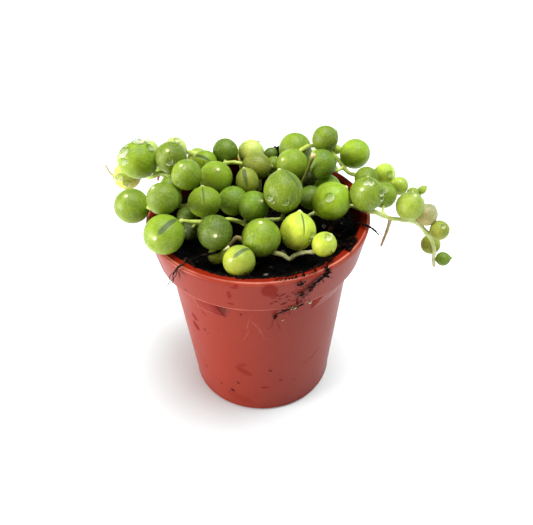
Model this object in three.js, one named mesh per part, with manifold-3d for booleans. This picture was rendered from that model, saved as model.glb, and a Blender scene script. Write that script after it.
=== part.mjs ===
// A string of pearls (Curio rowleyanus) in its small round nursery pot.
// Units are millimetres, +Z is up, and the origin is the centre of the pot's flat underside.
// Each leafy stem is one solid: stem, leaf stalks and the round, pointed leaves called pearls.

import * as THREE from "three";
import { mergeVertices } from "three/addons/utils/BufferGeometryUtils.js";
import Module from "manifold-3d";

const wasm = await Module();
wasm.setup();

// ---------------------------------------------------------------- driving dimensions

const GAP = 0.3; // clearance between pieces that touch on the real plant

const POT = {
  height: 54.5,
  rimRadius: 27.5,
  lipWidth: 2.3,
  lipDepth: 1.2,
  bandHeight: 9.4,
  bandFootRadius: 25.9,
  wallTopRadius: 23.5,
  baseRadius: 19.5,
  wall: 1,
  footRound: 1.2,
  sides: 48,
};

const DRAIN = { count: 6, radius: 1.8, ringRadius: 13 };

// Stacking lugs: ramps from the foot of the band down to the wall, evenly round the pot.
const LUG = { count: 5, firstAngle: -119.5, width: 6.6, height: 6.3, reach: 25.6 };

const SOIL = { level: 49.6, sides: 32, rings: 6, bump: 0.35, frontRise: 0.8 };

const STEM = { radius: 0.65, sides: 5, step: 3 };
const TWIG = { radius: 0.4, sides: 4, step: 2.4 };
const STALK = { radius: 0.42, sides: 4 };
const ROOT = { radius: 0.4, sides: 5, step: 2 };
const PEARL = { sides: 8, rings: 4, tip: 0.16, facetGrow: 1.03 };
const CRUMB = { count: 12, seed: 7, least: 0.6, most: 1.2, clear: 1 };

const lipInner = POT.rimRadius - POT.lipWidth;
const bandFoot = POT.height - POT.bandHeight;

// ---------------------------------------------------------------- finishes

const finish = (color, roughness) =>
  new THREE.MeshStandardMaterial({ color, roughness, metalness: 0 });
const terracottaPlastic = finish(0xb84a38, 0.38);
const peat = finish(0x1c1512, 0.95);
const dryRoot = finish(0x2e211b, 0.9);
const paleStem = finish(0x9cb060, 0.6);
const leafGreen = finish(0x86a032, 0.45);
const leafDark = finish(0x6a8a2e, 0.45);
const leafLime = finish(0xa9c040, 0.45);

// ---------------------------------------------------------------- where the stems run
// route: hand-chosen points along a stem, from the root end up and outwards.
// twigs: side shoots and hanging roots on it.
// pearls: [x, y, z, diameter], with a fifth entry where the pointed tip turns its own way.

const STRANDS = {
  left_front_strand: {
    finish: leafGreen,
    route: [
      [-0.5, -3.5, 45], [-0.5, -3.5, 50.5], [-2.5, -3.5, 52.5], [-5, -3.5, 53.8], [-7.5, -5, 55.5],
      [-11, -8, 57], [-14, -8.5, 57.5], [-16.2, -9.5, 58.5], [-17.5, -10.5, 59.5],
    ],
    pearls: [
      [-21, -15.5, 59.5, 9, [-0.2, -0.8, 0.5]],
      [-9.8, -14.6, 59, 7.9, [0.1, -0.9, 0.4]],
      [-12.5, -4, 60, 8, [-0.3, -0.3, 0.9]],
      [-16.4, -6.3, 53.4, 4.5],
      [-1, -3.5, 58, 7.4, [0.5, -0.5, 0.7]],
    ],
  },
  left_strand: {
    finish: leafGreen,
    route: [
      [-13, 0.5, 45], [-13, 0.5, 50.5], [-15.5, 2.5, 54], [-19.5, 2.5, 54.6], [-23, 2, 55.9],
      [-25.5, -1, 57], [-26, -4, 59], [-25, -6.3, 60.5],
    ],
    pearls: [
      [-21.8, 6.3, 57.5, 5.8],
      [-21.5, -8, 64, 7.4, [-0.4, -0.2, 0.9]],
      [-21.3, 0, 58.8, 6.2],
      [-30, -2.5, 58.5, 8.4, [-0.1, -0.4, 0.9]],
      [-17.5, -1, 54, 5],
    ],
  },
  left_upper_strand: {
    finish: leafLime,
    route: [
      [-12, 6, 45], [-12, 6, 50.5], [-14.5, 8, 54], [-18.5, 10.5, 56.5], [-22, 11.5, 58], [-25, 13, 58],
      [-27.5, 13.5, 56.5], [-30.5, 17, 55], [-33.5, 20.5, 54], [-37, 19.5, 54.5], [-38.5, 17, 55.5],
      [-39.5, 16, 59],
    ],
    twigs: [[[-25, 13, 58], [-25.5, 13.5, 57], [-26, 13.5, 55.5]]],
    pearls: [
      [-30, 13, 62, 9.6, [-0.9, -0.3, 0.3]],
      [-29.5, 24.5, 58, 6],
      [-34.5, 16.5, 55.3, 7.4, [-0.7, -0.5, 0.5]],
      [-21.5, 12, 63, 8],
    ],
  },
  back_left_strand: {
    finish: leafGreen,
    route: [
      [0.5, 16.5, 45], [0.5, 16.5, 53], [-1, 17, 55.5], [-4, 15.5, 58.5], [-6.5, 15.5, 59], [-9, 16, 58],
      [-11.5, 14.5, 56], [-14.5, 11.5, 56], [-16, 8.5, 58],
    ],
    pearls: [
      [-8.2, 20.5, 59.5, 6.8],
      [-10.5, 9, 58.5, 8.6, [0.2, -0.5, 0.8]],
      [-13.5, 17, 58.5, 6.2, [-0.8, 0.1, 0.5]],
      [0, 13.9, 58.5, 7, [0.9, -0.2, 0.1]],
      [-16.9, 3, 63.3, 7.4, [-0.2, -0.4, 0.9]],
    ],
  },
  back_middle_strand: {
    finish: leafDark,
    route: [[6, 13, 45], [6, 13, 51], [4, 16.5, 53.5], [1.5, 19.5, 54]],
    pearls: [[-1.3, 21.7, 58.2, 7], [4, 22.3, 57, 4], [4.5, 18, 56.5, 4.2]],
  },
  centre_strand: {
    finish: leafGreen,
    route: [
      [1, 6, 45], [1, 6, 51], [0.5, 5, 53.5], [-0.5, 2.5, 53.3], [0.5, -0.5, 52.3], [3, -2, 52.8],
      [5.5, -2, 53], [6, -3, 55], [6, -4.5, 57.8],
    ],
    pearls: [
      [6, -5, 63, 9.2, [-0.1, 0.6, 0.8]],
      [-6, 2, 56, 7.4],
      [-2.5, 7.3, 58.2, 5.8, [-0.2, 0.5, 0.8]],
    ],
  },
  front_strand: {
    finish: leafLime,
    route: [
      [-6.9, -10.4, 45], [-6.9, -10.4, 51], [-6.2, -10.8, 53], [-5, -11, 54.5], [-3.5, -11.5, 53.5], [-2.5, -14, 51.3],
      [-0.5, -14.5, 51.1], [1.5, -14.2, 51.4], [3.5, -14, 51.8], [6, -14.5, 51.6], [7.5, -15, 51.5],
      [9.5, -15, 52.5], [12, -16, 54],
    ],
    twigs: [[[7.5, -15, 51.7], [7.4, -15.2, 51.3], [7.3, -15.3, 51]]],
    pearls: [
      [-9.9, -14.2, 51.9, 4.2],
      [-4.5, -20.5, 55.3, 7.2, [-0.5, -0.6, 0.6]],
      [0.5, -14.8, 57.2, 8.8, [0, -0.1, 1]],
      [9, -12, 56.5, 8.4, [0.2, 0.6, 0.8]],
      [14.5, -17, 56.5, 5.6, [0.5, 0.1, 0.8]],
    ],
  },
  right_upper_strand: {
    finish: leafGreen,
    route: [
      [9, 14, 45], [9, 14, 55], [11, 15, 61.5], [13, 17.5, 61.6], [15.5, 19.3, 61], [18.5, 18.5, 60],
      [21, 15.5, 59.5], [23.5, 10.5, 58], [25.5, 11, 56.8], [29.5, 9.5, 55], [34, 7, 54.5],
      [38.5, 5, 54], [42, 3, 53.5],
    ],
    pearls: [
      [9, 10, 61, 8, [-0.4, -0.4, 0.8]],
      [10.5, 20.5, 59.5, 8.8],
      [18, 17.5, 64, 6.8, [0.9, 0.1, 0.5]],
      [16.3, 9.2, 61.5, 7.3],
      [25.5, 14.5, 61, 7.8],
      [27.5, 6.5, 58.5, 6],
      [32.5, 9, 58, 5.6],
      [35.5, 4.5, 57.3, 4.6],
      [38.3, 1.5, 57, 3],
      [40.7, 2.3, 57.3, 1.9],
      [21.2, 18.2, 60.3, 2.6],
    ],
  },
  right_lower_strand: {
    finish: leafGreen,
    route: [
      [12, 0, 45], [12, 0, 50.5], [12.5, -0.5, 52.5], [14.5, 0, 53], [19, -1, 54], [22.5, -0.5, 55.2],
      [25.5, -3, 55.6], [28, -4.5, 56], [32, -4.5, 54], [34.5, -4.5, 53.5], [38.5, -4.5, 52.5],
      [41, -5, 50], [43, -4.5, 47], [44, -5, 44.5], [44.5, -4.5, 41], [45, -5, 38.5],
    ],
    twigs: [[[32, -4.5, 54], [31.5, -5, 51], [31, -5, 48.5], [30.5, -5, 46]]],
    pearls: [
      [17.5, -3, 58.5, 9.2, [0.7, 0.1, 0.7]],
      [13.4, 3.8, 55, 6.1],
      [25.6, -4.2, 61, 8, [-0.4, -0.6, 0.7]],
      [31, 1, 57, 6.4],
      [36, -5.5, 58, 6.8],
      [41, -3.5, 54, 5.4],
      [44, -6, 51, 4.8],
      [44, -2, 43.5, 5],
      [46.8, -5, 41, 3.6, [0.9, -0.2, 0.2]],
    ],
  },
  right_under_strand: {
    finish: leafDark,
    route: [[17, 12.5, 45], [17, 12.5, 51], [17.5, 12.5, 53]],
    pearls: [[18.2, 9.6, 54, 7], [14, 14.5, 54, 5.6]],
  },
  back_left_trailing_strand: {
    finish: leafGreen,
    route: [
      [-10, 17, 45], [-10, 17, 51], [-12, 20, 55.3], [-15, 23.5, 56.6], [-18.5, 26.5, 56.2],
      [-21.5, 28.5, 54], [-22.5, 30, 50], [-23, 30.5, 45.5],
    ],
    pearls: [
      [-22.4, 27.1, 57, 6.4],
      [-16.5, 27.5, 53.5, 6],
      [-26.5, 29, 50.5, 6.2],
      [-20, 32.5, 48, 5.8],
      [-25.8, 29.7, 44.3, 4.8],
      [-21.5, 30.5, 41.5, 4.2],
      [-13, 15.5, 53, 4.6],
    ],
  },
  back_trailing_strand: {
    finish: leafGreen,
    route: [
      [-4, 20.5, 45], [-4, 20.5, 51.5], [-4.5, 23.5, 55.2], [-5, 26.5, 56.2], [-6, 29, 54],
      [-6.5, 30.5, 50], [-6, 31, 45.5],
    ],
    pearls: [
      [-9, 30.2, 54, 5.6],
      [-2, 31, 51.5, 6.2],
      [-10, 32, 48, 5.8],
      [-3, 33, 45.5, 5.2],
      [-8.5, 31.5, 42.5, 4.6],
    ],
  },
  back_right_trailing_strand: {
    finish: leafGreen,
    route: [
      [12.2, 17.2, 45], [12.2, 17.2, 51.5], [13, 18.6, 54.6], [14.6, 21.3, 56.2], [16.5, 25, 56.6],
      [17.5, 27.5, 55], [18, 29.5, 51.5], [18.3, 30.5, 47.5], [18, 30.5, 43.5],
    ],
    pearls: [
      [12.5, 29.5, 54, 6],
      [20.5, 29, 51, 5.6],
      [14.5, 32, 49, 6],
      [21.5, 31, 46, 5.2],
      [15, 31.5, 43, 4.8],
    ],
  },
};

// A leafless stem, cut off above the other leaves.
const CUT_STEM = [
  [10.2, 7.7, 45], [10.2, 7.7, 52], [10.9, 7.1, 56.5], [12.3, 6, 61], [13, 5.4, 64], [13.7, 4.5, 67],
];

// Dry roots that have strayed out over the lip.
const DRY_ROOTS = {
  dry_root_left: [
    [-8.8, -8.2, 50.7], [-8.5, -11, 52.6], [-8.2, -13.4, 54.1], [-8.9, -15.3, 54.5],
    [-10.1, -16.2, 54.4], [-11.8, -16, 54], [-13.5, -15.4, 53], [-15.1, -15.8, 52.4],
    [-15.7, -17.4, 53.3], [-16.1, -18.6, 55.1], [-16.6, -20.3, 55.4], [-17.2, -21.4, 55.4],
    [-18.2, -21.8, 54.9], [-19.1, -21, 52.8],
    [-19.6, -19.9, 50.5], [-20.1, -19.2, 48.3],
  ],
  dry_root_right: [
    [20.5, -5.6, 50.9], [22.5, -6.4, 52.6], [23.4, -7, 54.9], [25, -8, 55.4], [26.7, -9, 55.4],
    [27.9, -9.8, 55.1], [28.7, -10.6, 54.5],
  ],
};

// Peat and fine roots spilled over the lip: strings along it, and lumps on them given as
// [x, y, z, half length, half height, turn in degrees].
const SPILL_STRINGS = [
  [
    [18.2, -12.2, 49.6], [18.7, -14, 52.8], [19.2, -16.4, 55.2], [17.8, -19, 55.4], [15.4, -21.6, 55.4],
    [13.2, -24.1, 55.4], [11.6, -25.9, 55.3], [10.1, -26.6, 53.4], [9.4, -26.1, 50.4],
    [8.8, -25.7, 47.8], [8, -25.6, 46], [5.6, -26.2, 45.2],
  ],
  [[13.2, -24.1, 55.4], [11.2, -25.4, 55.5], [8.2, -26.6, 55.2]],
  [[18.7, -14, 52.8], [20.2, -15.6, 55.2], [21.9, -17, 55.3]],
];
const SPILL_LUMPS = [
  [19.4, -16.9, 55.4, 2, 1, -45],
  [15.3, -21.6, 55.4, 1.2, 0.8, -50],
  [13.4, -24.2, 55.5, 1.8, 0.9, -40],
  [11.5, -26, 55, 1.7, 1.1, -30],
  [8.5, -26.7, 55, 1, 0.9, -20],
  [9.9, -26.8, 53, 1, 1.4, -20],
];

// ---------------------------------------------------------------- solids

// The solid of a closed three.js geometry, its shared vertices merged.
function solidOf(geometry) {
  const bare = geometry.clone();
  bare.deleteAttribute("normal");
  bare.deleteAttribute("uv");
  const merged = mergeVertices(bare, 1e-4);
  const triVerts = new Uint32Array(merged.index.array);
  const vertProperties = new Float32Array(merged.attributes.position.array);
  return new wasm.Manifold(new wasm.Mesh({ numProp: 3, vertProperties, triVerts }));
}

function geometryOf(solid) {
  const { numProp, vertProperties, triVerts } = solid.getMesh();
  const position = new Float32Array((vertProperties.length / numProp) * 3);
  for (let i = 0; i * numProp < vertProperties.length; i += 1) {
    position.set(vertProperties.subarray(i * numProp, i * numProp + 3), i * 3);
  }
  const geometry = new THREE.BufferGeometry();
  geometry.setAttribute("position", new THREE.BufferAttribute(position, 3));
  geometry.setIndex(new THREE.BufferAttribute(new Uint32Array(triVerts), 1));
  geometry.computeVertexNormals();
  return geometry;
}

const joined = (solids) => solids.reduce((whole, solid) => whole.add(solid));
const point = ([x, y, z]) => new THREE.Vector3(x, y, z);

// A repeatable stream of numbers from 0 to 1.
function seeded(seed) {
  let state = seed;
  return () => {
    state = (state * 16807) % 2147483647;
    return state / 2147483647;
  };
}

// A round bar of a few flat sides, carried along a smooth curve through the points.
function tubeGeometry(points, { radius, sides, step }) {
  const curve = new THREE.CatmullRomCurve3(points.map(point), false, "centripetal");
  const section = new THREE.Shape();
  for (let i = 0; i < sides; i += 1) {
    const angle = (i / sides) * 2 * Math.PI;
    const corner = [radius * Math.cos(angle), radius * Math.sin(angle)];
    if (i) section.lineTo(...corner);
    else section.moveTo(...corner);
  }
  const steps = Math.max(2, Math.round(curve.getLength() / step));
  return new THREE.ExtrudeGeometry(section, { steps, extrudePath: curve, bevelEnabled: false });
}

// One pearl about the origin: a ball turned about +Z whose upper pole is drawn out to a short point.
function pearlGeometry(diameter) {
  const radius = (diameter / 2) * PEARL.facetGrow;
  const profile = [new THREE.Vector2(0, -radius)];
  for (let i = 1; i <= PEARL.rings; i += 1) {
    const angle = Math.PI * (i / (PEARL.rings + 1) - 0.5);
    profile.push(new THREE.Vector2(radius * Math.cos(angle), radius * Math.sin(angle)));
  }
  profile.push(new THREE.Vector2(0, radius * (1 + PEARL.tip)));
  return new THREE.LatheGeometry(profile, PEARL.sides).rotateX(Math.PI / 2);
}

const alongZ = new THREE.Vector3(0, 0, 1);

function turnedTo(geometry, direction, place) {
  const turn = new THREE.Quaternion().setFromUnitVectors(alongZ, direction);
  return geometry.applyQuaternion(turn).translate(place.x, place.y, place.z);
}

// The point of a route that lies nearest to a pearl, where its stalk leaves the stem.
function nearestOnRoute(route, place) {
  const curve = new THREE.CatmullRomCurve3(route.map(point), false, "centripetal");
  const samples = curve.getSpacedPoints(route.length * 6);
  return samples.reduce((best, sample) =>
    sample.distanceTo(place) < best.distanceTo(place) ? sample : best,
  );
}

function stalkAndPearl(route, [x, y, z, diameter, tip]) {
  const place = new THREE.Vector3(x, y, z);
  const node = nearestOnRoute(route, place);
  const away = place.clone().sub(node);
  const length = away.length();
  const outwards = away.normalize();
  const { radius, sides } = STALK;
  const stalk = new THREE.CylinderGeometry(radius, radius, length, sides);
  stalk.rotateX(Math.PI / 2);
  const middle = node.clone().addScaledVector(outwards, length / 2);
  const direction = tip ? point(tip).normalize() : outwards;
  return solidOf(turnedTo(stalk, outwards, middle)).add(
    solidOf(turnedTo(pearlGeometry(diameter), direction, place)),
  );
}

function strandSolid({ route, twigs = [], pearls }) {
  return joined([
    solidOf(tubeGeometry(route, STEM)),
    ...twigs.map((points) => solidOf(tubeGeometry(points, TWIG))),
    ...pearls.map((pearl) => stalkAndPearl(route, pearl)),
  ]);
}

// ---------------------------------------------------------------- pot

const latheOf = (outline, sides) =>
  new THREE.LatheGeometry(
    outline.map(([radius, height]) => new THREE.Vector2(radius, height)),
    sides,
  ).rotateX(Math.PI / 2);

// The outside of the pot from the edge of its foot to the lip, grown outwards by a clearance.
const outsideOutline = (grow = 0) => [
  [POT.baseRadius + grow, POT.footRound],
  [POT.wallTopRadius + grow, bandFoot - grow],
  [POT.bandFootRadius - 0.2 + grow, bandFoot - grow],
  [POT.bandFootRadius + grow, bandFoot + 0.4],
  [POT.rimRadius + grow, POT.height - 0.6],
  [POT.rimRadius - 0.4 + grow, POT.height + grow],
  [lipInner - grow, POT.height + grow],
];

const insideOutline = [
  [lipInner, POT.height - POT.lipDepth],
  [POT.rimRadius - 1.9, POT.height - POT.lipDepth - 0.6],
  [POT.bandFootRadius - POT.wall, bandFoot + 1.1],
  [POT.wallTopRadius - POT.wall, bandFoot],
  [POT.baseRadius - POT.wall, POT.wall * 1.3],
];

function stackingLug(index) {
  const degrees = LUG.firstAngle + (index * 360) / LUG.count;
  const side = new THREE.Shape();
  side.moveTo(POT.wallTopRadius, bandFoot + 0.3);
  side.lineTo(POT.wallTopRadius - 0.8, bandFoot - 0.5);
  side.lineTo(POT.wallTopRadius - 1.2, bandFoot - LUG.height - 0.3);
  side.lineTo(LUG.reach, bandFoot - 0.2);
  side.lineTo(LUG.reach, bandFoot + 0.3);
  side.closePath();
  const lug = new THREE.ExtrudeGeometry(side, { depth: LUG.width, bevelEnabled: false });
  return lug
    .translate(0, 0, -LUG.width / 2)
    .rotateX(Math.PI / 2)
    .rotateZ(THREE.MathUtils.degToRad(degrees));
}

function drainHole(index) {
  const angle = ((index + 0.5) / DRAIN.count) * 2 * Math.PI;
  const hole = new THREE.CylinderGeometry(DRAIN.radius, DRAIN.radius, 4 * POT.wall, 8);
  return hole
    .rotateX(Math.PI / 2)
    .translate(DRAIN.ringRadius * Math.cos(angle), DRAIN.ringRadius * Math.sin(angle), POT.wall);
}

function potSolid() {
  const outline = [
    [0, 0],
    [POT.baseRadius - POT.footRound, 0],
    [POT.baseRadius - POT.footRound * 0.3, POT.footRound * 0.3],
    ...outsideOutline(),
    ...insideOutline,
    [0, POT.wall * 1.3],
  ];
  const body = solidOf(latheOf(outline, POT.sides));
  const lugs = Array.from({ length: LUG.count }, (_, i) => solidOf(stackingLug(i)));
  const holes = Array.from({ length: DRAIN.count }, (_, i) => solidOf(drainHole(i)));
  return joined([body, ...lugs]).subtract(joined(holes));
}

// ---------------------------------------------------------------- soil, spill and roots

// Low waves on the soil, which also rises a little towards the front.
function soilHeight(x, y) {
  const waves = Math.sin(x * 0.55 + 4) * Math.cos(y * 0.48) + 0.6 * Math.sin(x * 0.9 - y * 0.7);
  const front = Math.max(0, (-y - 12) / 12);
  return SOIL.level + SOIL.bump * waves + SOIL.frontRise * front;
}

function soilGeometry() {
  const inset = POT.wall + GAP;
  const edge = POT.bandFootRadius - inset - 0.1;
  const outline = [
    [0, POT.wall * 1.3 + GAP],
    [POT.baseRadius - inset, POT.wall * 1.3 + GAP],
    [POT.wallTopRadius - inset, bandFoot],
    [edge, bandFoot + 1.6],
    [edge, SOIL.level - 0.6],
  ];
  for (let i = SOIL.rings - 1; i >= 0; i -= 1) {
    outline.push([((edge - 0.8) * i) / (SOIL.rings - 1), SOIL.level]);
  }
  const geometry = latheOf(outline, SOIL.sides);
  const place = geometry.attributes.position;
  for (let i = 0; i < place.count; i += 1) {
    if (Math.abs(place.getZ(i) - SOIL.level) < 1e-3) {
      place.setZ(i, soilHeight(place.getX(i), place.getY(i)));
    }
  }
  return geometry;
}

// Everything that grows or lies near the soil, as points that a crumb keeps clear of.
function occupiedPoints() {
  const routes = Object.values(STRANDS).map((strand) => strand.route);
  const stems = [...routes, CUT_STEM, ...Object.values(DRY_ROOTS)].flatMap((route) => {
    const curve = new THREE.CatmullRomCurve3(route.map(point), false, "centripetal");
    return curve.getSpacedPoints(route.length * 5).map((place) => ({ place, radius: STEM.radius }));
  });
  const pearls = Object.values(STRANDS).flatMap((strand) =>
    strand.pearls.map((pearl) => ({ place: point(pearl), radius: pearl[3] / 2 })),
  );
  return [...stems, ...pearls];
}

// Crumbs of peat, dropped by a rule where nothing else lies on the soil.
function crumbSolids() {
  const random = seeded(CRUMB.seed);
  const occupied = occupiedPoints();
  const crumbs = [];
  while (crumbs.length < CRUMB.count) {
    const radius = CRUMB.least + (CRUMB.most - CRUMB.least) * random();
    const reach = 22 * Math.sqrt(random());
    const angle = 2 * Math.PI * random();
    const turn = 2 * Math.PI * random();
    const place = new THREE.Vector3(reach * Math.cos(angle), reach * Math.sin(angle), 0);
    place.z = soilHeight(place.x, place.y) + radius * 0.1;
    const free = occupied.every(
      (other) => other.place.distanceTo(place) > other.radius + radius + CRUMB.clear,
    );
    if (free) {
      const crumb = new THREE.IcosahedronGeometry(radius, 0).rotateZ(turn).scale(1, 1, 0.75);
      crumbs.push(solidOf(crumb.translate(place.x, place.y, place.z)));
    }
  }
  return crumbs;
}

function rootHole([x, y, z]) {
  const radius = STEM.radius + 2 * GAP;
  const depth = SOIL.level - z + 4;
  const hole = new THREE.CylinderGeometry(radius, radius, depth, 8);
  return solidOf(hole.rotateX(Math.PI / 2).translate(x, y, z - GAP + depth / 2));
}

// The spilled strings and lumps, kept clear of the pot.
function spillSolid() {
  const strings = SPILL_STRINGS.map((points) => solidOf(tubeGeometry(points, ROOT)));
  const lumps = SPILL_LUMPS.map(([x, y, z, halfLength, halfHeight, degrees]) => {
    const lump = new THREE.IcosahedronGeometry(1, 0).scale(halfLength, halfLength * 0.7, halfHeight);
    lump.rotateZ(THREE.MathUtils.degToRad(-degrees));
    return solidOf(lump.translate(x, y, z));
  });
  const keepOut = [
    [0, POT.footRound],
    ...outsideOutline(GAP),
    [lipInner - GAP, bandFoot + 2],
    [0, bandFoot + 2],
  ];
  return joined([...strings, ...lumps]).subtract(solidOf(latheOf(keepOut, POT.sides)));
}

function soilSolid() {
  const roots = [...Object.values(STRANDS).map((strand) => strand.route[0]), CUT_STEM[0]];
  return joined([solidOf(soilGeometry()), ...crumbSolids(), spillSolid()]).subtract(
    joined(roots.map((root) => rootHole(root))),
  );
}

// ---------------------------------------------------------------- the assembly

const model = new THREE.Group();
model.name = "potted_string_of_pearls";

function place(name, solid, material) {
  const mesh = new THREE.Mesh(geometryOf(solid), material);
  mesh.name = name;
  model.add(mesh);
}

place("pot", potSolid(), terracottaPlastic);
place("soil", soilSolid(), peat);
for (const [name, points] of Object.entries(DRY_ROOTS)) {
  place(name, solidOf(tubeGeometry(points, ROOT)), dryRoot);
}
place("cut_stem", solidOf(tubeGeometry(CUT_STEM, STEM)), paleStem);
for (const [name, strand] of Object.entries(STRANDS)) {
  place(name, strandSolid(strand), strand.finish);
}

export default model;
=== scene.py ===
"""A string of pearls in its small plastic nursery pot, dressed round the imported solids.

Sizes are in millimetres while a shape is worked out and become metres when its mesh is made.
The origin is the centre of the pot's flat underside, +Z is up, and -Y is the side it is seen from.
"""

import logging
import math
from dataclasses import dataclass, fields
from enum import Enum

import bpy
import numpy as np
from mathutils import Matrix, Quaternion, Vector


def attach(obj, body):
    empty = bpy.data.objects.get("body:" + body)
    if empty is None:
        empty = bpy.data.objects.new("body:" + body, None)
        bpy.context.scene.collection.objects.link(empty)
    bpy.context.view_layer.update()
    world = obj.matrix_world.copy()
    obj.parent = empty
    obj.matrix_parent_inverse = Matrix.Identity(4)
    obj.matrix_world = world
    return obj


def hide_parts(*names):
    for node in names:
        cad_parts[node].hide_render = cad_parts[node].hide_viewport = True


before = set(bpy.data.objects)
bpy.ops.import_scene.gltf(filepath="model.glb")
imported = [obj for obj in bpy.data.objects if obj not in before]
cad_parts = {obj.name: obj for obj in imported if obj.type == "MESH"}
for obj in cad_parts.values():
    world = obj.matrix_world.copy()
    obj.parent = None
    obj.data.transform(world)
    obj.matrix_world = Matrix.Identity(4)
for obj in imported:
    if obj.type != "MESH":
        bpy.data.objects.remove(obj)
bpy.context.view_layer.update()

log = logging.getLogger("string_of_pearls")
logging.basicConfig(level=logging.INFO, format="%(name)s: %(message)s")

Array = np.ndarray
Material, Node, Piece = bpy.types.Material, bpy.types.Node, bpy.types.Object
Socket, Tree = bpy.types.NodeSocket, bpy.types.NodeTree
Inputs = dict[str | int, object]
Pair = tuple[float, float]
Triple = tuple[float, float, float]
Route = tuple[Triple, ...]
MM = 0.001
TURN = 2 * math.pi
X, Y, Z = np.eye(3)
SEED = 20
SEEDS_PER_STRAND = 40
ROOT = "root"
WATER_IOR = 1.33
FLOOR_GAP = 0.00003
# A pearl's window slit, as angles from its point: where it widens and where it narrows.
SLIT_START, SLIT_END = (0.1, 0.5), (1.95, 1.0)


# ---- small sums


def unit(vectors: Array) -> Array:
    """Each vector divided by its length."""
    return vectors / np.maximum(np.linalg.norm(vectors, axis=-1, keepdims=True), 1e-9)


def ease(low: float, high: float, value: Array) -> Array:
    """A smooth step: 3t^2 - 2t^3, where t runs from 0 at low to 1 at high, which may be lower."""
    t = np.clip((value - low) / (high - low), 0, 1)
    return t * t * (3 - 2 * t)


def bell(width: float, value: Array) -> Array:
    """A bell curve: e to the power of -(value / width)^2."""
    return np.exp(-((value / width) ** 2))


def mixed(low: Array, high: Array, share: Array) -> Array:
    """A mix: low * (1 - share) + high * share."""
    return low * (1 - share) + high * share


def linear(code: str) -> Array:
    """A colour of six hex digits, undone by the sRGB curve: red, green, blue and full alpha."""
    part = np.array([int(code[i : i + 2], 16) / 255 for i in (0, 2, 4)])
    return np.append(np.where(part < 0.04045, part / 12.92, ((part + 0.055) / 1.055) ** 2.4), 1)


def lay(mask: Array, more: Array) -> None:
    """Raises a mask, in place, to another wherever that is higher."""
    np.maximum(mask, more, out=mask)


def circle(sides: int) -> Array:
    """Even angles once round."""
    return np.linspace(0, TURN, sides, endpoint=False)


def from_angle(angle: Array, degrees: float) -> Array:
    """How far each angle lies past a place in degrees, the short way round."""
    return (angle - math.radians(degrees) + math.pi) % TURN - math.pi


def waves(places: Array, size: float, count: int, seed: int) -> Array:
    """Soft random ripples: the mean of sines of 2 pi dot(place, direction) / size + phase.

    Args:
        places: Points along the last axis.
        size: The rough width of a ripple.
        count: How many sines are summed.
        seed: Picks the directions and phases.

    Returns:
        A value of roughly -1 to 1 at each point.
    """
    random = np.random.default_rng(seed)
    ways = unit(random.normal(size=(count, 3))) * random.uniform(0.7, 1.6, (count, 1))
    phases = random.uniform(0, TURN, count)
    return np.sin(places @ ways.T * (TURN / size) + phases).mean(-1) * 1.6


def smooth_route(points: Route | Array, per_span: int = 8) -> Array:
    """A smooth curve through given points, each span a cubic whose end slopes weigh the
    neighbouring points by the square root of their distances.

    Args:
        points: The points.
        per_span: How many steps each span is cut into.

    Returns:
        The points of the curve, one row each.
    """
    given = np.asarray(points, float)
    whole = np.vstack([2 * given[0] - given[1], given, 2 * given[-1] - given[-2]])
    a, b, c, d = whole[:-3, None], whole[1:-2, None], whole[2:-1, None], whole[3:, None]
    steps = np.sqrt(np.maximum(np.linalg.norm(np.diff(whole, axis=0), axis=1), 1e-6))
    ab, bc, cd = steps[:-2, None, None], steps[1:-1, None, None], steps[2:, None, None]
    leave = ((b - a) / ab - (c - a) / (ab + bc) + (c - b) / bc) * bc
    arrive = ((c - b) / bc - (d - b) / (bc + cd) + (d - c) / cd) * bc
    t = (np.arange(per_span) / per_span)[None, :, None]
    curve = (2 * t**3 - 3 * t**2 + 1) * b + (t**3 - 2 * t**2 + t) * leave
    curve = curve + (3 * t**2 - 2 * t**3) * c + (t**3 - t**2) * arrive
    return np.vstack([curve.reshape(-1, 3), given[-1]])


def square_to(axis: Array, towards: Array) -> tuple[Array, Array]:
    """Two directions square to an axis, right-handed with it, the first leaning to a direction."""
    first = unit(towards - (towards * axis).sum(-1, keepdims=True) * axis)
    return first, np.cross(axis, first)


def spun(
    side: Array, up: Array, angle: Array, first: Array = X, second: Array = Y, axis: Array = Z
) -> Array:
    """A profile turned about an axis: side * (cos a * first + sin a * second) + up * axis.

    Args:
        side: How far each point stands off the axis.
        up: How far along the axis it is.
        angle: How far round it is, a.
        first: The direction at angle 0.
        second: The direction a quarter turn on.
        axis: The axis.

    Returns:
        The points.
    """
    out = np.cos(angle)[..., None] * first + np.sin(angle)[..., None] * second
    return side[..., None] * out + up[..., None] * axis


# ---- surfaces


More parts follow.
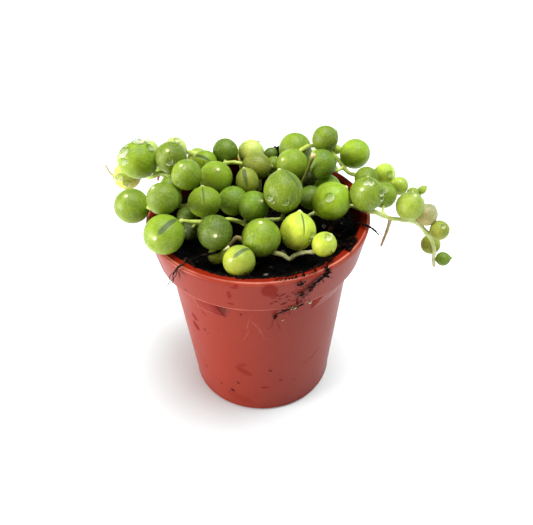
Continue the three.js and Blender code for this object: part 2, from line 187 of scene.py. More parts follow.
@dataclass
class Surface:
    """Points and faces in whole arrays: the point and the pattern coordinates at each corner,
    face after face; how many corners, three or four, and which finish each face has; and four
    numbers of tint and of trait per point, which the finish reads."""

    points: Array
    corners: Array
    uv: Array
    sizes: Array
    finish: Array
    tint: Array
    trait: Array

    @staticmethod
    def joined(surfaces: list["Surface"]) -> "Surface":
        """One surface that holds several, each keeping its own points.

        Args:
            surfaces: The surfaces to put together.

        Returns:
            The joined surface.
        """
        names = [own.name for own in fields(Surface)]
        whole = {name: np.concatenate([getattr(s, name) for s in surfaces]) for name in names}
        starts = np.cumsum([0] + [len(s.points) for s in surfaces[:-1]])
        whole["corners"] += np.repeat(starts, [len(s.corners) for s in surfaces])
        return Surface(**whole)

    def to_piece(self, name: str, *finishes: Material) -> Piece:
        """Makes the Blender object, smooth shaded, at the origin.

        Args:
            name: The object's name.
            finishes: Its materials, in the order of the finish numbers.

        Returns:
            The object, linked to the scene.
        """
        mesh = bpy.data.meshes.new(name)
        mesh.vertices.add(len(self.points))
        mesh.vertices.foreach_set("co", (self.points * MM).astype(np.float32).ravel())
        mesh.loops.add(len(self.corners))
        mesh.loops.foreach_set("vertex_index", self.corners.astype(np.int32))
        mesh.polygons.add(len(self.sizes))
        starts, smooth = np.cumsum(self.sizes) - self.sizes, np.ones(len(self.sizes), bool)
        mesh.polygons.foreach_set("loop_start", starts.astype(np.int32))
        mesh.polygons.foreach_set("material_index", self.finish.astype(np.int32))
        mesh.polygons.foreach_set("use_smooth", smooth)
        pattern = mesh.uv_layers.new(name="pattern")
        pattern.data.foreach_set("uv", self.uv.astype(np.float32).ravel())
        for label in ("tint", "trait"):
            layer = mesh.attributes.new(label, "FLOAT_COLOR", "POINT")
            layer.data.foreach_set("color", getattr(self, label).astype(np.float32).ravel())
        mesh.update(calc_edges=True)
        mesh.validate()
        for finish in finishes:
            mesh.materials.append(finish)
        piece = bpy.data.objects.new(name, mesh)
        bpy.context.scene.collection.objects.link(piece)
        return piece


def face_corners(grid: Array, first: Array, last: Array) -> Array:
    """What each corner holds: four-sided faces from ring to ring, then a fan at each pole.

    Args:
        grid: What the rings hold, each ring's start repeated at its end.
        first: What the first pole holds, once per side.
        last: The same for the last pole.

    Returns:
        The values, face after face.
    """
    parts = (
        np.stack([grid[:-1, :-1], grid[:-1, 1:], grid[1:, 1:], grid[1:, :-1]], 2),
        np.stack([first, grid[0, 1:], grid[0, :-1]], 1),
        np.stack([grid[-1, :-1], grid[-1, 1:], last], 1),
    )
    return np.concatenate([part.reshape(-1, *grid.shape[2:]) for part in parts])


def closed_grid(
    rings: Array,
    tint: Array,
    trait: Array | tuple[float, ...] = (0, 0, 0, 0),
    across: Array | None = None,
    along: Array | None = None,
    finish: int = 0,
) -> Surface:
    """A closed skin over rings of points, whose first and last rings close on their mean points.

    Args:
        rings: Points as rings x points round a ring x 3, anticlockwise seen from the end.
        tint: One colour for all, or one per grid point.
        trait: Four numbers for all, or four per grid point.
        across: Pattern coordinate at each point round a ring, with one more for the wrap.
        along: Pattern coordinate of each ring.
        finish: The number of its finish.

    Returns:
        The closed surface.
    """
    rows, cols = rings.shape[:2]
    across = np.linspace(0, 1, cols + 1) if across is None else across
    along = np.linspace(0, 1, rows) if along is None else along
    pattern = np.stack(np.broadcast_arrays(across[None], along[:, None]), -1)
    middle = (pattern[:, 1:] + pattern[:, :-1]) / 2
    number = np.arange(rows - 2)[:, None] * cols + np.arange(cols + 1) % cols
    first = np.full(cols, (rows - 2) * cols)
    sizes = np.repeat([4, 3], [(rows - 3) * cols, 2 * cols])

    def poles_last(values: Array | tuple[float, ...], wide: int) -> Array:
        """The values at every point of the surface, the means of the end rings last."""
        whole = np.broadcast_to(np.asarray(values, float), (rows, cols, wide))
        return np.vstack([whole[1:-1].reshape(-1, wide), whole[0].mean(0), whole[-1].mean(0)])

    return Surface(
        poles_last(rings, 3),
        face_corners(number, first, first + 1),
        face_corners(pattern[1:-1], middle[0], middle[-1]),
        sizes,
        np.full(len(sizes), finish),
        poles_last(tint, 4),
        poles_last(trait, 4),
    )


def tube(route: Array, radius: Array | float, sides: int, tint: Array, finish: int = 0) -> Surface:
    """A round profile carried along a route: place + radius * (cos a * first + sin a * second),
    where first and second stand square to the route.

    Args:
        route: The points along the middle.
        radius: One radius, one per point, or one per point and side.
        sides: How many points make a ring.
        tint: One colour for all, or one per point of the route.
        finish: The number of its finish.

    Returns:
        The closed tube.
    """
    ahead = unit(np.gradient(route, axis=0))
    trial = [[x, y, z] for x in (-1, 0, 1) for y in (-1, 0, 1) for z in (0.3, 1)]
    trial = unit(np.array(trial, float))
    clear = np.abs(ahead @ trial.T).max(0)
    first, second = square_to(ahead, trial[clear.argmin()][None])
    reach = np.asarray(radius, float)
    reach = np.broadcast_to(reach.reshape(-1, 1) if reach.ndim < 2 else reach, (len(route), sides))
    angle = circle(sides)[None]
    rings = route[:, None] + spun(reach, 0 * reach, angle, first[:, None], second[:, None])
    length = np.append(0, np.cumsum(np.linalg.norm(np.diff(route, axis=0), axis=1)))
    along = np.concatenate([[-0.1], length, [length[-1] + 0.1]])
    ends = np.r_[0, np.arange(len(route)), len(route) - 1]
    tint = np.broadcast_to(tint, (len(route), 4))[ends, None]
    return closed_grid(rings[ends], tint, along=along, finish=finish)


def lump(
    centre: Array,
    sizes: Array,
    turn: float,
    seed: int,
    tint: Array,
    rings: int = 5,
    sides: int = 7,
    rough: float = 0.3,
) -> Surface:
    """A rough crumb: a ball scaled to three half sizes, turned about Z, its radius times
    1 + rough * ripples.

    Args:
        centre: Its middle.
        sizes: Its three half sizes.
        turn: Its turn about Z, in radians.
        seed: Picks its ripples.
        tint: Its colour.
        rings: Rings from pole to pole.
        sides: Points round a ring.
        rough: How uneven it is.

    Returns:
        The closed lump.
    """
    polar = np.linspace(-math.pi / 2, math.pi / 2, rings)[:, None]
    ways = spun(np.cos(polar), np.sin(polar), circle(sides)[None])
    ball = ways * (1 + rough * waves(ways, 1.6, 6, seed))[..., None] * sizes
    cos, sin = math.cos(turn), math.sin(turn)
    turned = ball @ np.array([[cos, sin, 0], [-sin, cos, 0], [0, 0, 1]])
    return closed_grid(turned + centre, tint)


# ---- node work


class Bench:
    """Adds and wires the nodes of one material or node group."""

    def __init__(self, tree: Tree) -> None:
        """Keeps the tree that is worked on."""
        self.tree = tree

    def fill(self, node: Node, inputs: Inputs) -> None:
        """Feeds a node's inputs.

        Args:
            node: The node.
            inputs: What feeds each, by name or number: an output to wire, or a value to set.
        """
        for name, source in inputs.items():
            if isinstance(source, Socket):
                self.tree.links.new(source, node.inputs[name])
            else:
                node.inputs[name].default_value = source

    def node(self, kind: str, inputs: Inputs | None = None, **settings: object) -> Node:
        """Adds a node, sets its options and feeds its inputs.

        Args:
            kind: Its type, without ShaderNode.
            inputs: What feeds its inputs, as in fill.
            settings: Its options by name.

        Returns:
            The node.
        """
        made = self.tree.nodes.new("ShaderNode" + kind)
        for name, value in settings.items():
            setattr(made, name, value)
        self.fill(made, inputs or {})
        return made

    def sum(self, work: str, *values: Socket | float) -> Socket:
        """The result of one Math node, whose operation is named first."""
        return self.node("Math", dict(enumerate(values)), operation=work).outputs[0]

    def times(self, value: Socket, factor: Socket | float) -> Socket:
        """The product of two values."""
        return self.sum("MULTIPLY", value, factor)

    def step(self, value: Socket, low: Socket | float, high: Socket | float) -> Socket:
        """A mask: a smooth step of a value, 0 at low and 1 at high."""
        inputs = {"Value": value, "From Min": low, "From Max": high}
        return self.node("MapRange", inputs, interpolation_type="SMOOTHSTEP").outputs["Result"]

    def blend(self, share: Socket | float, low: object, high: object, how: str = "MIX") -> Socket:
        """A mix of two colours, share of it the second."""
        inputs = {0: share, 6: low, 7: high}
        return self.node("Mix", inputs, data_type="RGBA", blend_type=how).outputs[2]

    def layers(self, colour: object, *rows: tuple[Socket, float, object]) -> Socket:
        """Colours laid one over another.

        Args:
            colour: What lies lowest.
            rows: A mask, its strength and a colour, which may be six hex digits, for each layer.

        Returns:
            The colour that shows.
        """
        for mask, strength, over in rows:
            over = linear(over) if isinstance(over, str) else over
            colour = self.blend(self.times(mask, strength), colour, over)
        return colour

    def noise(self, place: Socket, scale: object, detail: float, rough: float = 0.5) -> Socket:
        """A noise texture's factor, about 0 to 1; on Object coordinates its scale is per metre."""
        inputs = {"Vector": place, "Scale": scale, "Detail": detail, "Roughness": rough}
        return self.node("TexNoise", inputs).outputs["Fac"]

    def attribute(self, name: str) -> Socket:
        """What the mesh holds under a name."""
        return self.node("Attribute", attribute_name=name).outputs["Color"]

    def split(self, colour: Socket) -> list[Socket]:
        """The three numbers of a colour."""
        return list(self.node("SeparateColor", {0: colour}).outputs)


def speckle_group() -> Tree:
    """The uneven skin that pot, leaves, stems and peat share: noise of two sizes, sharpened.

    Returns:
        A group with Place, Fine Scale and Coarse Scale in, and a Fine and a Coarse mask out.
    """
    tree = bpy.data.node_groups.new("uneven_skin", "ShaderNodeTree")
    tree.interface.new_socket("Place", in_out="INPUT", socket_type="NodeSocketVector")
    for name in ("Fine", "Coarse"):
        tree.interface.new_socket(name + " Scale", in_out="INPUT", socket_type="NodeSocketFloat")
        tree.interface.new_socket(name, in_out="OUTPUT", socket_type="NodeSocketFloat")
    bench = Bench(tree)
    given, made = tree.nodes.new("NodeGroupInput").outputs, tree.nodes.new("NodeGroupOutput")
    for mask, detail in (("Fine", 4.0), ("Coarse", 3.0)):
        cloud = bench.noise(given["Place"], given[mask + " Scale"], detail)
        bench.fill(made, {mask: bench.step(cloud, 0.35, 0.65)})
    return tree


# ---- finishes


@dataclass(frozen=True)
class Finish:
    """What every finish has: a name, the gloss of its skin, the uneven skin's group, a coat over
    it; how much light goes into it, how far in metres and in what share of each colour; and the
    scales of its uneven skin, per metre, with the depth of its relief in metres."""

    name: str
    roughness: float
    specular: float
    skin: Tree | None = None
    coat: float = 0.0
    coat_roughness: float = 0.1
    lit_through: float = 0.0
    lit_depth: float = 0.0006
    lit_colours: Triple = (0.8, 0.9, 0.3)
    fine: float = 2200.0
    coarse: float = 500.0
    relief: float = 0.00003

    def start(self) -> tuple[Material, Bench, Node]:
        """A new material with its constants set on the shader.

        Returns:
            The material, its bench and its Principled shader.
        """
        material = bpy.data.materials.new(self.name)
        material.use_nodes = True
        bench, shader = Bench(material.node_tree), material.node_tree.nodes["Principled BSDF"]
        bench.fill(shader, {"Roughness": self.roughness, "Specular IOR Level": self.specular})
        bench.fill(shader, {"Coat Weight": self.coat, "Coat Roughness": self.coat_roughness})
        bench.fill(shader, {"Subsurface Weight": self.lit_through})
        bench.fill(shader, {"Subsurface Scale": self.lit_depth})
        bench.fill(shader, {"Subsurface Radius": self.lit_colours})
        return material, bench, shader

    def uneven(self, bench: Bench) -> list[Socket]:
        """Places the shared uneven skin at this finish's scales.

        Args:
            bench: The material's bench.

        Returns:
            The fine and the coarse mask.
        """
        place = bench.node("TexCoord").outputs["Object"]
        scales = {"Place": place, "Fine Scale": self.fine, "Coarse Scale": self.coarse}
        return list(bench.node("Group", scales, node_tree=self.skin).outputs)

    def bump(self, bench: Bench, shader: Node, height: Socket) -> None:
        """Wires a height, where 1 stands for the depth of the relief, into the normal."""
        made = bench.node("Bump", {"Distance": self.relief, "Height": height})
        bench.fill(shader, {"Normal": made.outputs["Normal"]})


@dataclass(frozen=True)
class LeafFinish(Finish):
    """The skin of a pearl: waxy and a little translucent, with fine streaks that run from the
    point, a cream point in a pale halo, a grey-green window slit and a dull bloom. The streaks
    have a scale round the pearl, one along it and one from pearl to pearl; halo and cream are
    angles from the point, where each starts and where it is full."""

    lit_through: float = 0.2
    lit_depth: float = 0.0012
    lit_colours: Triple = (0.9, 1.2, 0.25)
    fine: float = 2600.0
    coarse: float = 420.0
    relief: float = 0.00002
    streak_scales: Triple = (90.0, 11.0, 40.0)
    halo: Pair = (0.42, 0.05)
    cream: Pair = (0.12, 0.05)
    light_shade: str = "fdffe0"
    dull_shade: str = "b9c98c"
    pale_colour: str = "d8e184"
    cream_colour: str = "e6e8b4"
    window_colour: str = "4c6036"

    @staticmethod
    def slit(bench: Bench, round_: Socket, from_point: Socket, width: Socket) -> Socket:
        """The window slit: where the arc from its meridian is less than half its width, which
        follows a lens between the point and the pearl's middle.

        Args:
            bench: The material's bench.
            round_: The pattern coordinate round the point.
            from_point: The angle from the point.
            width: Half the slit's width at its widest, in radians.

        Returns:
            Its mask.
        """
        aside = bench.sum("ABSOLUTE", bench.sum("SUBTRACT", round_, 0.5))
        arc = bench.times(bench.times(aside, TURN), bench.sum("SINE", from_point))
        lens = bench.times(bench.step(from_point, *SLIT_START), bench.step(from_point, *SLIT_END))
        half = bench.times(width, bench.sum("POWER", lens, 0.6))
        inside = bench.step(arc, half, bench.times(half, 0.72))
        return bench.times(inside, bench.step(lens, 0.02, 0.2))

    def make(self) -> Material:
        """Builds the material on the pearl's own pattern, round its point and along from its
        stalk.

        Returns:
            The material.
        """
        material, bench, shader = self.start()
        fine, coarse = self.uneven(bench)
        base = bench.attribute("tint")
        strength, width, odd = bench.split(bench.attribute("trait"))
        pattern = bench.node("UVMap", uv_map="pattern").outputs["UV"]
        round_, along, _ = bench.node("SeparateXYZ", {0: pattern}).outputs
        from_point = bench.times(bench.sum("SUBTRACT", 1.0, along), math.pi)
        scales = enumerate(zip((round_, along, odd), self.streak_scales))
        rows = bench.node("CombineXYZ", {i: bench.times(*pair) for i, pair in scales}).outputs[0]
        streaks = bench.step(bench.noise(rows, 1.0, 4, 0.7), 0.5, 0.66)
        slit = bench.times(self.slit(bench, round_, from_point, width), strength)
        light = bench.blend(1.0, base, linear(self.light_shade), "MULTIPLY")
        dull = bench.blend(1.0, base, linear(self.dull_shade), "MULTIPLY")
        pale = bench.blend(0.4, base, linear(self.pale_colour))
        colour = bench.layers(
            light,
            (coarse, 0.55, dull),
            (streaks, 0.5, pale),
            (fine, 0.22, pale),
            (slit, 0.85, self.window_colour),
            (bench.step(from_point, *self.halo), 0.4, pale),
            (bench.step(from_point, *self.cream), 1.0, self.cream_colour),
        )
        gloss = bench.sum("ADD", bench.times(coarse, 0.14), self.roughness)
        bench.fill(shader, {"Base Color": colour, "Roughness": gloss})
        self.bump(bench, shader, bench.sum("ADD", fine, bench.times(streaks, 0.8)))
        return material


@dataclass(frozen=True)
class TintFinish(Finish):
    """A finish whose colour comes from the mesh, with uneven darker patches and a fine relief:
    stems, roots, peat and grains."""

    dark: str = "e8e8b8"

    def make(self) -> Material:
        """Builds the material.

        Returns:
            The material.
        """
        material, bench, shader = self.start()
        fine, coarse = self.uneven(bench)
        base = bench.attribute("tint")
        shade = bench.blend(1.0, base, linear(self.dark), "MULTIPLY")
        colour = bench.layers(base, (coarse, 1.0, shade), (fine, 0.5, shade))
        bench.fill(shader, {"Base Color": colour})
        self.bump(bench, shader, bench.sum("ADD", fine, coarse))
        return material


@dataclass(frozen=True)
class PotFinish(Finish):
    """Moulded terracotta-coloured plastic with fine up-and-down draw lines, so many a metre and
    drawn out by a share, a dusty coat that damp and grimy places lack and that is thinner over the
    painted shade of the lip and the lug faces, and the marks that the mesh holds. Painted shade
    darkens the lip's top, the inner wall and the lug faces, and painted highlights pale the lip's
    crest, the band's lower edge and the first lug's lit edges."""

    coat: float = 0.38
    coat_roughness: float = 0.36
    fine: float = 3000.0
    coarse: float = 130.0
    relief: float = 0.000012
    draw_scale: float = 900.0
    draw_share: float = 0.06
    body: str = "88240e"
    # Painted shade on the lip's top and the inner wall.
    lip: str = "7c1a04"
    bloom: str = "902812"
    # Damp patches, and painted shade on the first lug's face.
    wet_and_shade: str = "720400"
    # Grime, and painted shade on the inner wall below the lip.
    dirt_and_shade: str = "1c0a06"
    # Scratches, and painted highlights along the edges.
    scuff_and_highlight: str = "d08068"
    # Painted shade on the lug faces.
    under: str = "821402"

    def make(self) -> Material:
        """Builds the material.

        Returns:
            The material.
        """
        material, bench, shader = self.start()
        fine, coarse = self.uneven(bench)
        wet_and_shade, dirt_and_shade, lip = bench.split(bench.attribute("tint"))
        scuff_and_highlight, under, _ = bench.split(bench.attribute("trait"))
        place = bench.node("TexCoord").outputs["Object"]
        stretch = {"Vector": place, "Scale": (1.0, 1.0, self.draw_share)}
        tall = bench.node("Mapping", stretch).outputs["Vector"]
        drawn = bench.step(bench.noise(tall, self.draw_scale, 3, 0.6), 0.4, 0.75)
        colour = bench.layers(
            linear(self.body),
            (coarse, 0.25, self.bloom),
            (drawn, 0.12, self.bloom),
            (fine, 0.22, self.wet_and_shade),
            # Painted shade on the lug faces.
            (under, 0.9, self.under),
            # Painted shade on the lip's top and the inner wall.
            (lip, 1.0, self.lip),
            # Scratches, and painted highlights along the edges.
            (bench.times(scuff_and_highlight, bench.sum("ADD", 0.35, coarse)), 0.6, self.scuff_and_highlight),
            # Damp patches, and painted shade on the first lug's face.
            (wet_and_shade, 0.9, self.wet_and_shade),
            # Grime, and painted shade on the inner wall below the lip.
            (dirt_and_shade, 1.0, self.dirt_and_shade),
        )
        # The dusty coat is thinner where damp or grimy and over the painted shade of the lip and
        # the lug faces.
        bare = bench.sum("MAXIMUM", wet_and_shade, dirt_and_shade)
        for mask, share in ((lip, 0.6), (under, 0.5)):
            bare = bench.sum("MAXIMUM", bare, bench.times(mask, share))
        dusty = bench.sum("SUBTRACT", 1.0, bench.times(bare, 0.95))
        gloss = bench.sum("ADD", bench.times(coarse, 0.08), self.roughness)
        gloss = bench.sum("SUBTRACT", gloss, bench.times(wet_and_shade, 0.04))
        coat = bench.times(dusty, self.coat)
        bench.fill(shader, {"Base Color": colour, "Coat Weight": coat, "Roughness": gloss})
        self.bump(bench, shader, bench.sum("ADD", bench.times(fine, 0.4), drawn))
        return material


@dataclass(frozen=True)
class WaterFinish(Finish):
    """Clear drops of water: the mesh's tint holds the light they gather and its trait how much of
    what lies under them they hide."""

    def make(self) -> Material:
        """Builds the material.

        Returns:
            The material.
        """
        material, bench, shader = self.start()
        hide = bench.split(bench.attribute("trait"))[0]
        given = {"Base Color": bench.attribute("tint"), "Alpha": hide, "IOR": WATER_IOR}
        bench.fill(shader, given)
        return material


class Palette:
    """Every finish of the plant, built once."""

    def __init__(self) -> None:
        """Makes the shared group and the materials."""
        skin = speckle_group()
        crumbly = {"dark": "504840", "fine": 3500.0, "coarse": 900.0, "relief": 0.0002}
        woody = {"dark": "807060", "relief": 0.00006}
        self.pot = PotFinish("terracotta_plastic", 0.34, 0.02, skin).make()
        self.leaf = LeafFinish("pearl_skin", 0.32, 0.25, skin).make()
        self.stem = TintFinish("stem_skin", 0.5, 0.3, skin, lit_through=0.25).make()
        self.peat = TintFinish("damp_peat", 0.7, 0.07, skin, **crumbly).make()
        self.root = TintFinish("dry_root", 0.7, 0.12, skin, **woody).make()
        self.water = WaterFinish("water", 0.05, 0.5).make()


# ---- the pot


@dataclass
class Mark:
    """A damp patch, a speck of grime or a scratch on the outside of the pot: its angle in degrees,
    its height, half its length and width, how far its length leans from level in degrees, and its
    strength as each of the three, in masks that also hold painted shade and painted highlights."""

    angle: float
    height: float
    long: float
    wide: float
    lean: float
    wet_and_shade: float = 0.0
    dirt_and_shade: float = 0.0
    scuff_and_highlight: float = 0.0

    def mask(self, angle: Array, radius: Array, height: Array) -> Array:
        """A soft-edged oval: a smooth step of hypot(along / long, across / wide), where along and
        across are the distances from its middle, turned by its lean.

        Args:
            angle: The angle of each point of the pot, in radians.
            radius: How far the point is from the axis.
            height: How high it is.

        Returns:
            1 inside the mark and 0 outside it.
        """
        aside, above = from_angle(angle, self.angle) * radius, height - self.height
        cos, sin = math.cos(math.radians(self.lean)), math.sin(math.radians(self.lean))
        along, across = aside * cos + above * sin, above * cos - aside * sin
        return ease(1.15, 0.9, np.hypot(along / self.long, across / self.wide))


MARKS = (
    (-138.4, 32.9, 1.25, 0.75, -50, 1), (-139.3, 29.4, 1.5, 1.05, -50, 1),
    (-128, 37.4, 1.2, 0.22, -50, 0.9), (-86, 52.3, 1.8, 1.9, 0, 0.65),
    (-84, 50.4, 0.9, 1.1, 0, 0.5), (-105, 50.4, 0.5, 1.4, 0, 0.55), (-102, 53.2, 1, 0.3, 0, 0.6),
    (-105, 47.2, 0.9, 0.28, -12, 0.8), (-128, 53.2, 1, 0.2, -45, 0.8, 0.3),
    (-101, 54, 0.6, 0.25, 0, 0.6), (-80, 50.3, 0.9, 0.25, 30, 0.8, 0.4),
    (-83, 48.2, 0.5, 0.3, 0, 0.8, 0.4), (-79, 47, 0.8, 0.35, 20, 0.9, 0.5),
    (-82.5, 50.6, 0.5, 0.25, -30, 0.8, 0.4), (-77.5, 49.4, 0.5, 0.25, 40, 0.8, 0.4),
    (-81, 49, 0.35, 0.3, 0, 0.8, 0.5), (-76.5, 48, 0.45, 0.2, -20, 0.8, 0.4),
    (-85, 47.6, 0.35, 0.3, 0, 0.8, 0.3), (-75, 50.6, 0.3, 0.25, 0, 0.8, 0.3),
    (-74, 47.4, 0.6, 0.4, 0, 0.6), (-72, 46.6, 0.35, 1.5, 8, 1, 0.4),
    (-89, 10.9, 1.1, 0.35, -5, 0.9), (-104, 18, 2.6, 1, -35, 0.45), (-105, 20.5, 1.6, 0.6, 30, 0.4),
    (-110, 5, 4, 1.6, -20, 0.25), (-50, 19, 2.2, 0.4, 40, 0.5), (-57, 18, 1.4, 0.3, 35, 0.45),
    (-153, 50.5, 1.5, 4.5, 0, 0.9), (-102, 40.9, 0.25, 0.25, 0, 0, 1),
    (-130, 30.4, 0.45, 0.25, -40, 0, 0.9), (-127.5, 29.6, 0.3, 0.2, -40, 0, 0.8),
    (-125, 8.7, 0.35, 0.35, 0, 0, 1), (-115, 7.7, 0.7, 0.45, -35, 0, 1),
    (-109, 12, 0.6, 0.25, -30, 0, 1), (-85, 18.5, 0.6, 0.25, -30, 0, 1),
    (-77, 13.6, 0.6, 0.22, 35, 0, 0.9), (-66, 12, 0.35, 0.18, 25, 0, 0.8),
    (-42, 29.7, 0.3, 0.25, 0, 0, 0.9), (-139, 12.5, 0.4, 0.3, 0, 0, 0.9),
    (-118, 33, 0.18, 0.18, 0, 0, 0.6), (-131, 46.6, 0.3, 0.25, 0, 0, 0.7),
    (-80, 37, 0.14, 2.6, 12, 0, 0.35), (-98, 38, 2.4, 0.12, 78, 0, 0, 0.28),
    (-94, 37.5, 1.8, 0.12, -55, 0, 0, 0.28), (-90.5, 34.5, 1.9, 0.12, -70, 0, 0, 0.28),
    (-88, 32.2, 1.1, 0.12, -30, 0, 0, 0.28), (-100, 33, 2.2, 0.12, 65, 0, 0, 0.28),
)


@dataclass
class Pot:
    """The moulded pot: a thin tapered wall, a band round its top with a flat lip, stacking lugs
    under the band and drain holes in the floor. A lug's side starts and ends so far past its edge,
    and its face is darkened by painted shade from so far past its edge and so strongly, the first
    lug's and the others'."""

    height: float = 54.5
    rim_radius: float = 27.5
    lip_width: float = 2.3
    band_height: float = 9.4
    band_foot_radius: float = 25.9
    wall_top_radius: float = 23.5
    base_radius: float = 19.5
    wall: float = 1.0
    floor: float = 1.3
    foot_round: float = 1.2
    lip_round: float = 0.7
    mouth_round: float = 0.3
    band_round: float = 0.2
    lug_count: int = 5
    first_lug: float = -121.2
    lug_width: float = 6.0
    lug_height: float = 6.3
    lug_reach: float = 25.7
    lug_flare: float = 0.85
    lug_side: Pair = (0.16, -0.1)
    first_face_shade: Pair = (0.02, 1.0)
    other_face_shade: Pair = (0.3, 0.35)
    face_shade_ramp: float = 0.12
    hole_count: int = 6
    hole_radius: float = 1.8
    hole_ring: float = 13.0
    sides: int = 440
    crowding: float = 0.55

    @property
    def band_foot(self) -> float:
        """The height of the band's lower edge."""
        return self.height - self.band_height

    def outline(self) -> Array:
        """The profile as radius and height, from the middle of the underside out, up, over the lip
        and down to the middle of the floor. Corners are quarter circles.

        Returns:
            The points of the profile.
        """

        def corner(radius: float, height: float, size: float, span: Triple) -> Array:
            """A piece of circle about a point; its span is two angles and a number of points."""
            angle = np.radians(np.linspace(*span))
            return np.stack([radius + size * np.cos(angle), height + size * np.sin(angle)], 1)

        def line(start: Pair, end: Pair, steps: int) -> Array:
            """Even points from start, end left out."""
            share = np.linspace(0, 1, steps, endpoint=False)[:, None]
            return mixed(np.asarray(start), np.asarray(end), share)

        top, foot, band, base = self.height, self.band_foot, self.band_foot_radius, self.base_radius
        outer, inner = self.rim_radius, self.rim_radius - self.lip_width
        wall, bend, lip = self.wall_top_radius, self.foot_round, self.lip_round
        mouth, edge = self.mouth_round, self.band_round
        low = foot - self.lug_height
        low_radius = base + (wall - base) * low / foot
        return np.vstack(
            [
                line((0, 0), (base - bend, 0), 6),
                corner(base - bend + 0.1, bend, bend, (-90, -6, 6)),
                line((base, bend + 0.1), (low_radius - 0.1, low - 0.7), 104),
                line((low_radius - 0.08, low - 0.7), (wall, foot), 30),
                line((wall, foot), (band - edge, foot), 4),
                corner(band - edge, foot + edge, edge, (-90, 0, 5)),
                line((band + 0.03, foot + 2 * edge), (outer, top - lip - 0.1), 32),
                corner(outer - lip, top - lip, lip, (0, 90, 8)),
                line((outer - lip - 0.1, top), (inner + mouth, top), 6),
                corner(inner + mouth, top - mouth, mouth, (90, 180, 5)),
                line((inner, top - 0.5), (inner, top - 1.2), 3),
                line((inner + mouth, top - 1.8), (band - self.wall, foot + 1.1), 5),
                line((wall - self.wall, foot), (base - self.wall, self.floor), 6),
                [(base - self.wall, self.floor), (0, self.floor)],
            ]
        )

    def from_lug(self, number: int, angle: Array, climb: Array) -> tuple[Array, Array]:
        """Where the outer wall lies from a lug, whose half width grows downwards by its flare.

        Args:
            number: Which lug.
            angle: The angle of each point of the pot, in radians.
            climb: How far up the lug's height the point is, from 0 to 1.

        Returns:
            How far past the lug's middle it lies, in radians, and how far past its edge.
        """
        turn = from_angle(angle, self.first_lug + number * 360 / self.lug_count)
        half = self.lug_width / 2 + self.lug_flare * (1 - climb)
        return turn, np.abs(turn) * self.wall_top_radius - half

    @staticmethod
    def seam(turn: Array, past: Array, climb: Array) -> Array:
        """The painted highlight round the first lug's face: smooth steps of the distance to its
        sides and to its lower end, without the side that is turned away from the light.

        Args:
            turn: How far past the lug's middle each point lies, in radians.
            past: How far past its edge.
            climb: How far up its height, from 0 to 1.

        Returns:
            Its mask.
        """
        sides, end = np.abs(past + 0.05), np.abs(climb - 0.02)
        seam = np.maximum(ease(0.3, 0.05, sides), ease(0.07, 0.02, end))
        return seam * (ease(0.4, 0.1, past) * (climb > 0.001) * ((turn < 0) | (past < -0.4)))

    def edge_highlights(self, radius: Array, height: Array) -> Array:
        """How pale the painted highlights along the edges are: smooth steps of the distance to the
        lip's crest and to the band's lower edge, and a faint strip down from the crest.

        Args:
            radius: How far each point of the pot is from the axis.
            height: How high it is.

        Returns:
            Their mask.
        """
        out, down = radius - self.rim_radius, self.height - height
        crest = ease(0.26, 0.08, np.hypot(out + 0.62, down - 0.02))
        strip = 0.2 * ease(0.75, 0.6, down) * ease(-0.62, -0.5, out)
        foot = ease(0.42, 0.1, np.hypot(radius - self.band_foot_radius, height - self.band_foot))
        return np.maximum(np.maximum(crest, strip), foot)

    def surface(self) -> Surface:
        """Turns the profile round Z: (r cos a, r sin a, z), with a = t - crowding * cos t so that
        the front has the finest faces. On the outer wall, r grows towards the lug's reach over the
        height of each lug, within its width. The painted shade of the lugs' faces, the painted
        highlights along the edges, the painted shade of the lip and the inner wall, and the marks
        are laid over one another as masks.

        Returns:
            The pot, with wet_and_shade, dirt_and_shade and the lip's painted shade in its tint, and
            scuff_and_highlight and the lug faces' painted shade in its trait.
        """
        outline = self.outline()
        even = circle(self.sides)[None]
        angle = even - self.crowding * np.cos(even)
        radius, height = outline[:, :1], outline[:, 1:]
        row = np.arange(len(outline))[:, None]
        outer = row < np.argmax(outline[:, 1] > self.band_foot - 0.01)
        inner = row > outline[:, 1].argmax() + 4
        climb = np.clip((height - self.band_foot + self.lug_height) / self.lug_height, 0, 1)
        grown = np.broadcast_to(radius, (len(outline), self.sides)).copy()
        wet_and_shade, dirt_and_shade, lip, scuff_and_highlight, under, none, full = np.zeros((7, *grown.shape))
        full += 1
        for number in range(self.lug_count):
            turn, past = self.from_lug(number, angle, climb)
            stands = ease(*self.lug_side, past) * climb
            grown += np.where(outer, stands * (self.lug_reach - radius), 0)
            # Painted shade on each lug's face, strongest on the first lug's.
            edge, strength = self.other_face_shade if number else self.first_face_shade
            face = ease(edge, edge - self.face_shade_ramp, past) * ease(0, 0.04, climb)
            face = np.where(outer, face, 0)
            lay(under, face * strength)
            if number == 0:
                # Painted shade that darkens the first lug's face towards its right end, in the same
                # mask as damp patches.
                lay(wet_and_shade, 0.75 * face * ease(-0.06, 0.11, turn))
                # Painted highlights along the first lug's lit edges.
                lay(scuff_and_highlight, np.where(outer, self.seam(turn, past, climb), 0))
        # Painted highlights along the lip's crest and the band's lower edge.
        lay(scuff_and_highlight, self.edge_highlights(radius, height))
        for mark in (Mark(*values) for values in MARKS):
            inside = np.where(radius > self.base_radius - 0.5, mark.mask(angle, radius, height), 0)
            for mask, strength in ((wet_and_shade, mark.wet_and_shade), (dirt_and_shade, mark.dirt_and_shade), (scuff_and_highlight, mark.scuff_and_highlight)):
                lay(mask, inside * strength)
        down, flat = self.height - height, radius < self.rim_radius - self.lip_round
        # Painted shade on the inner wall and on the lip's flat top.
        lip[:] = np.where(inner, 1, np.where(flat, ease(0.3, 0.05, down), 0))
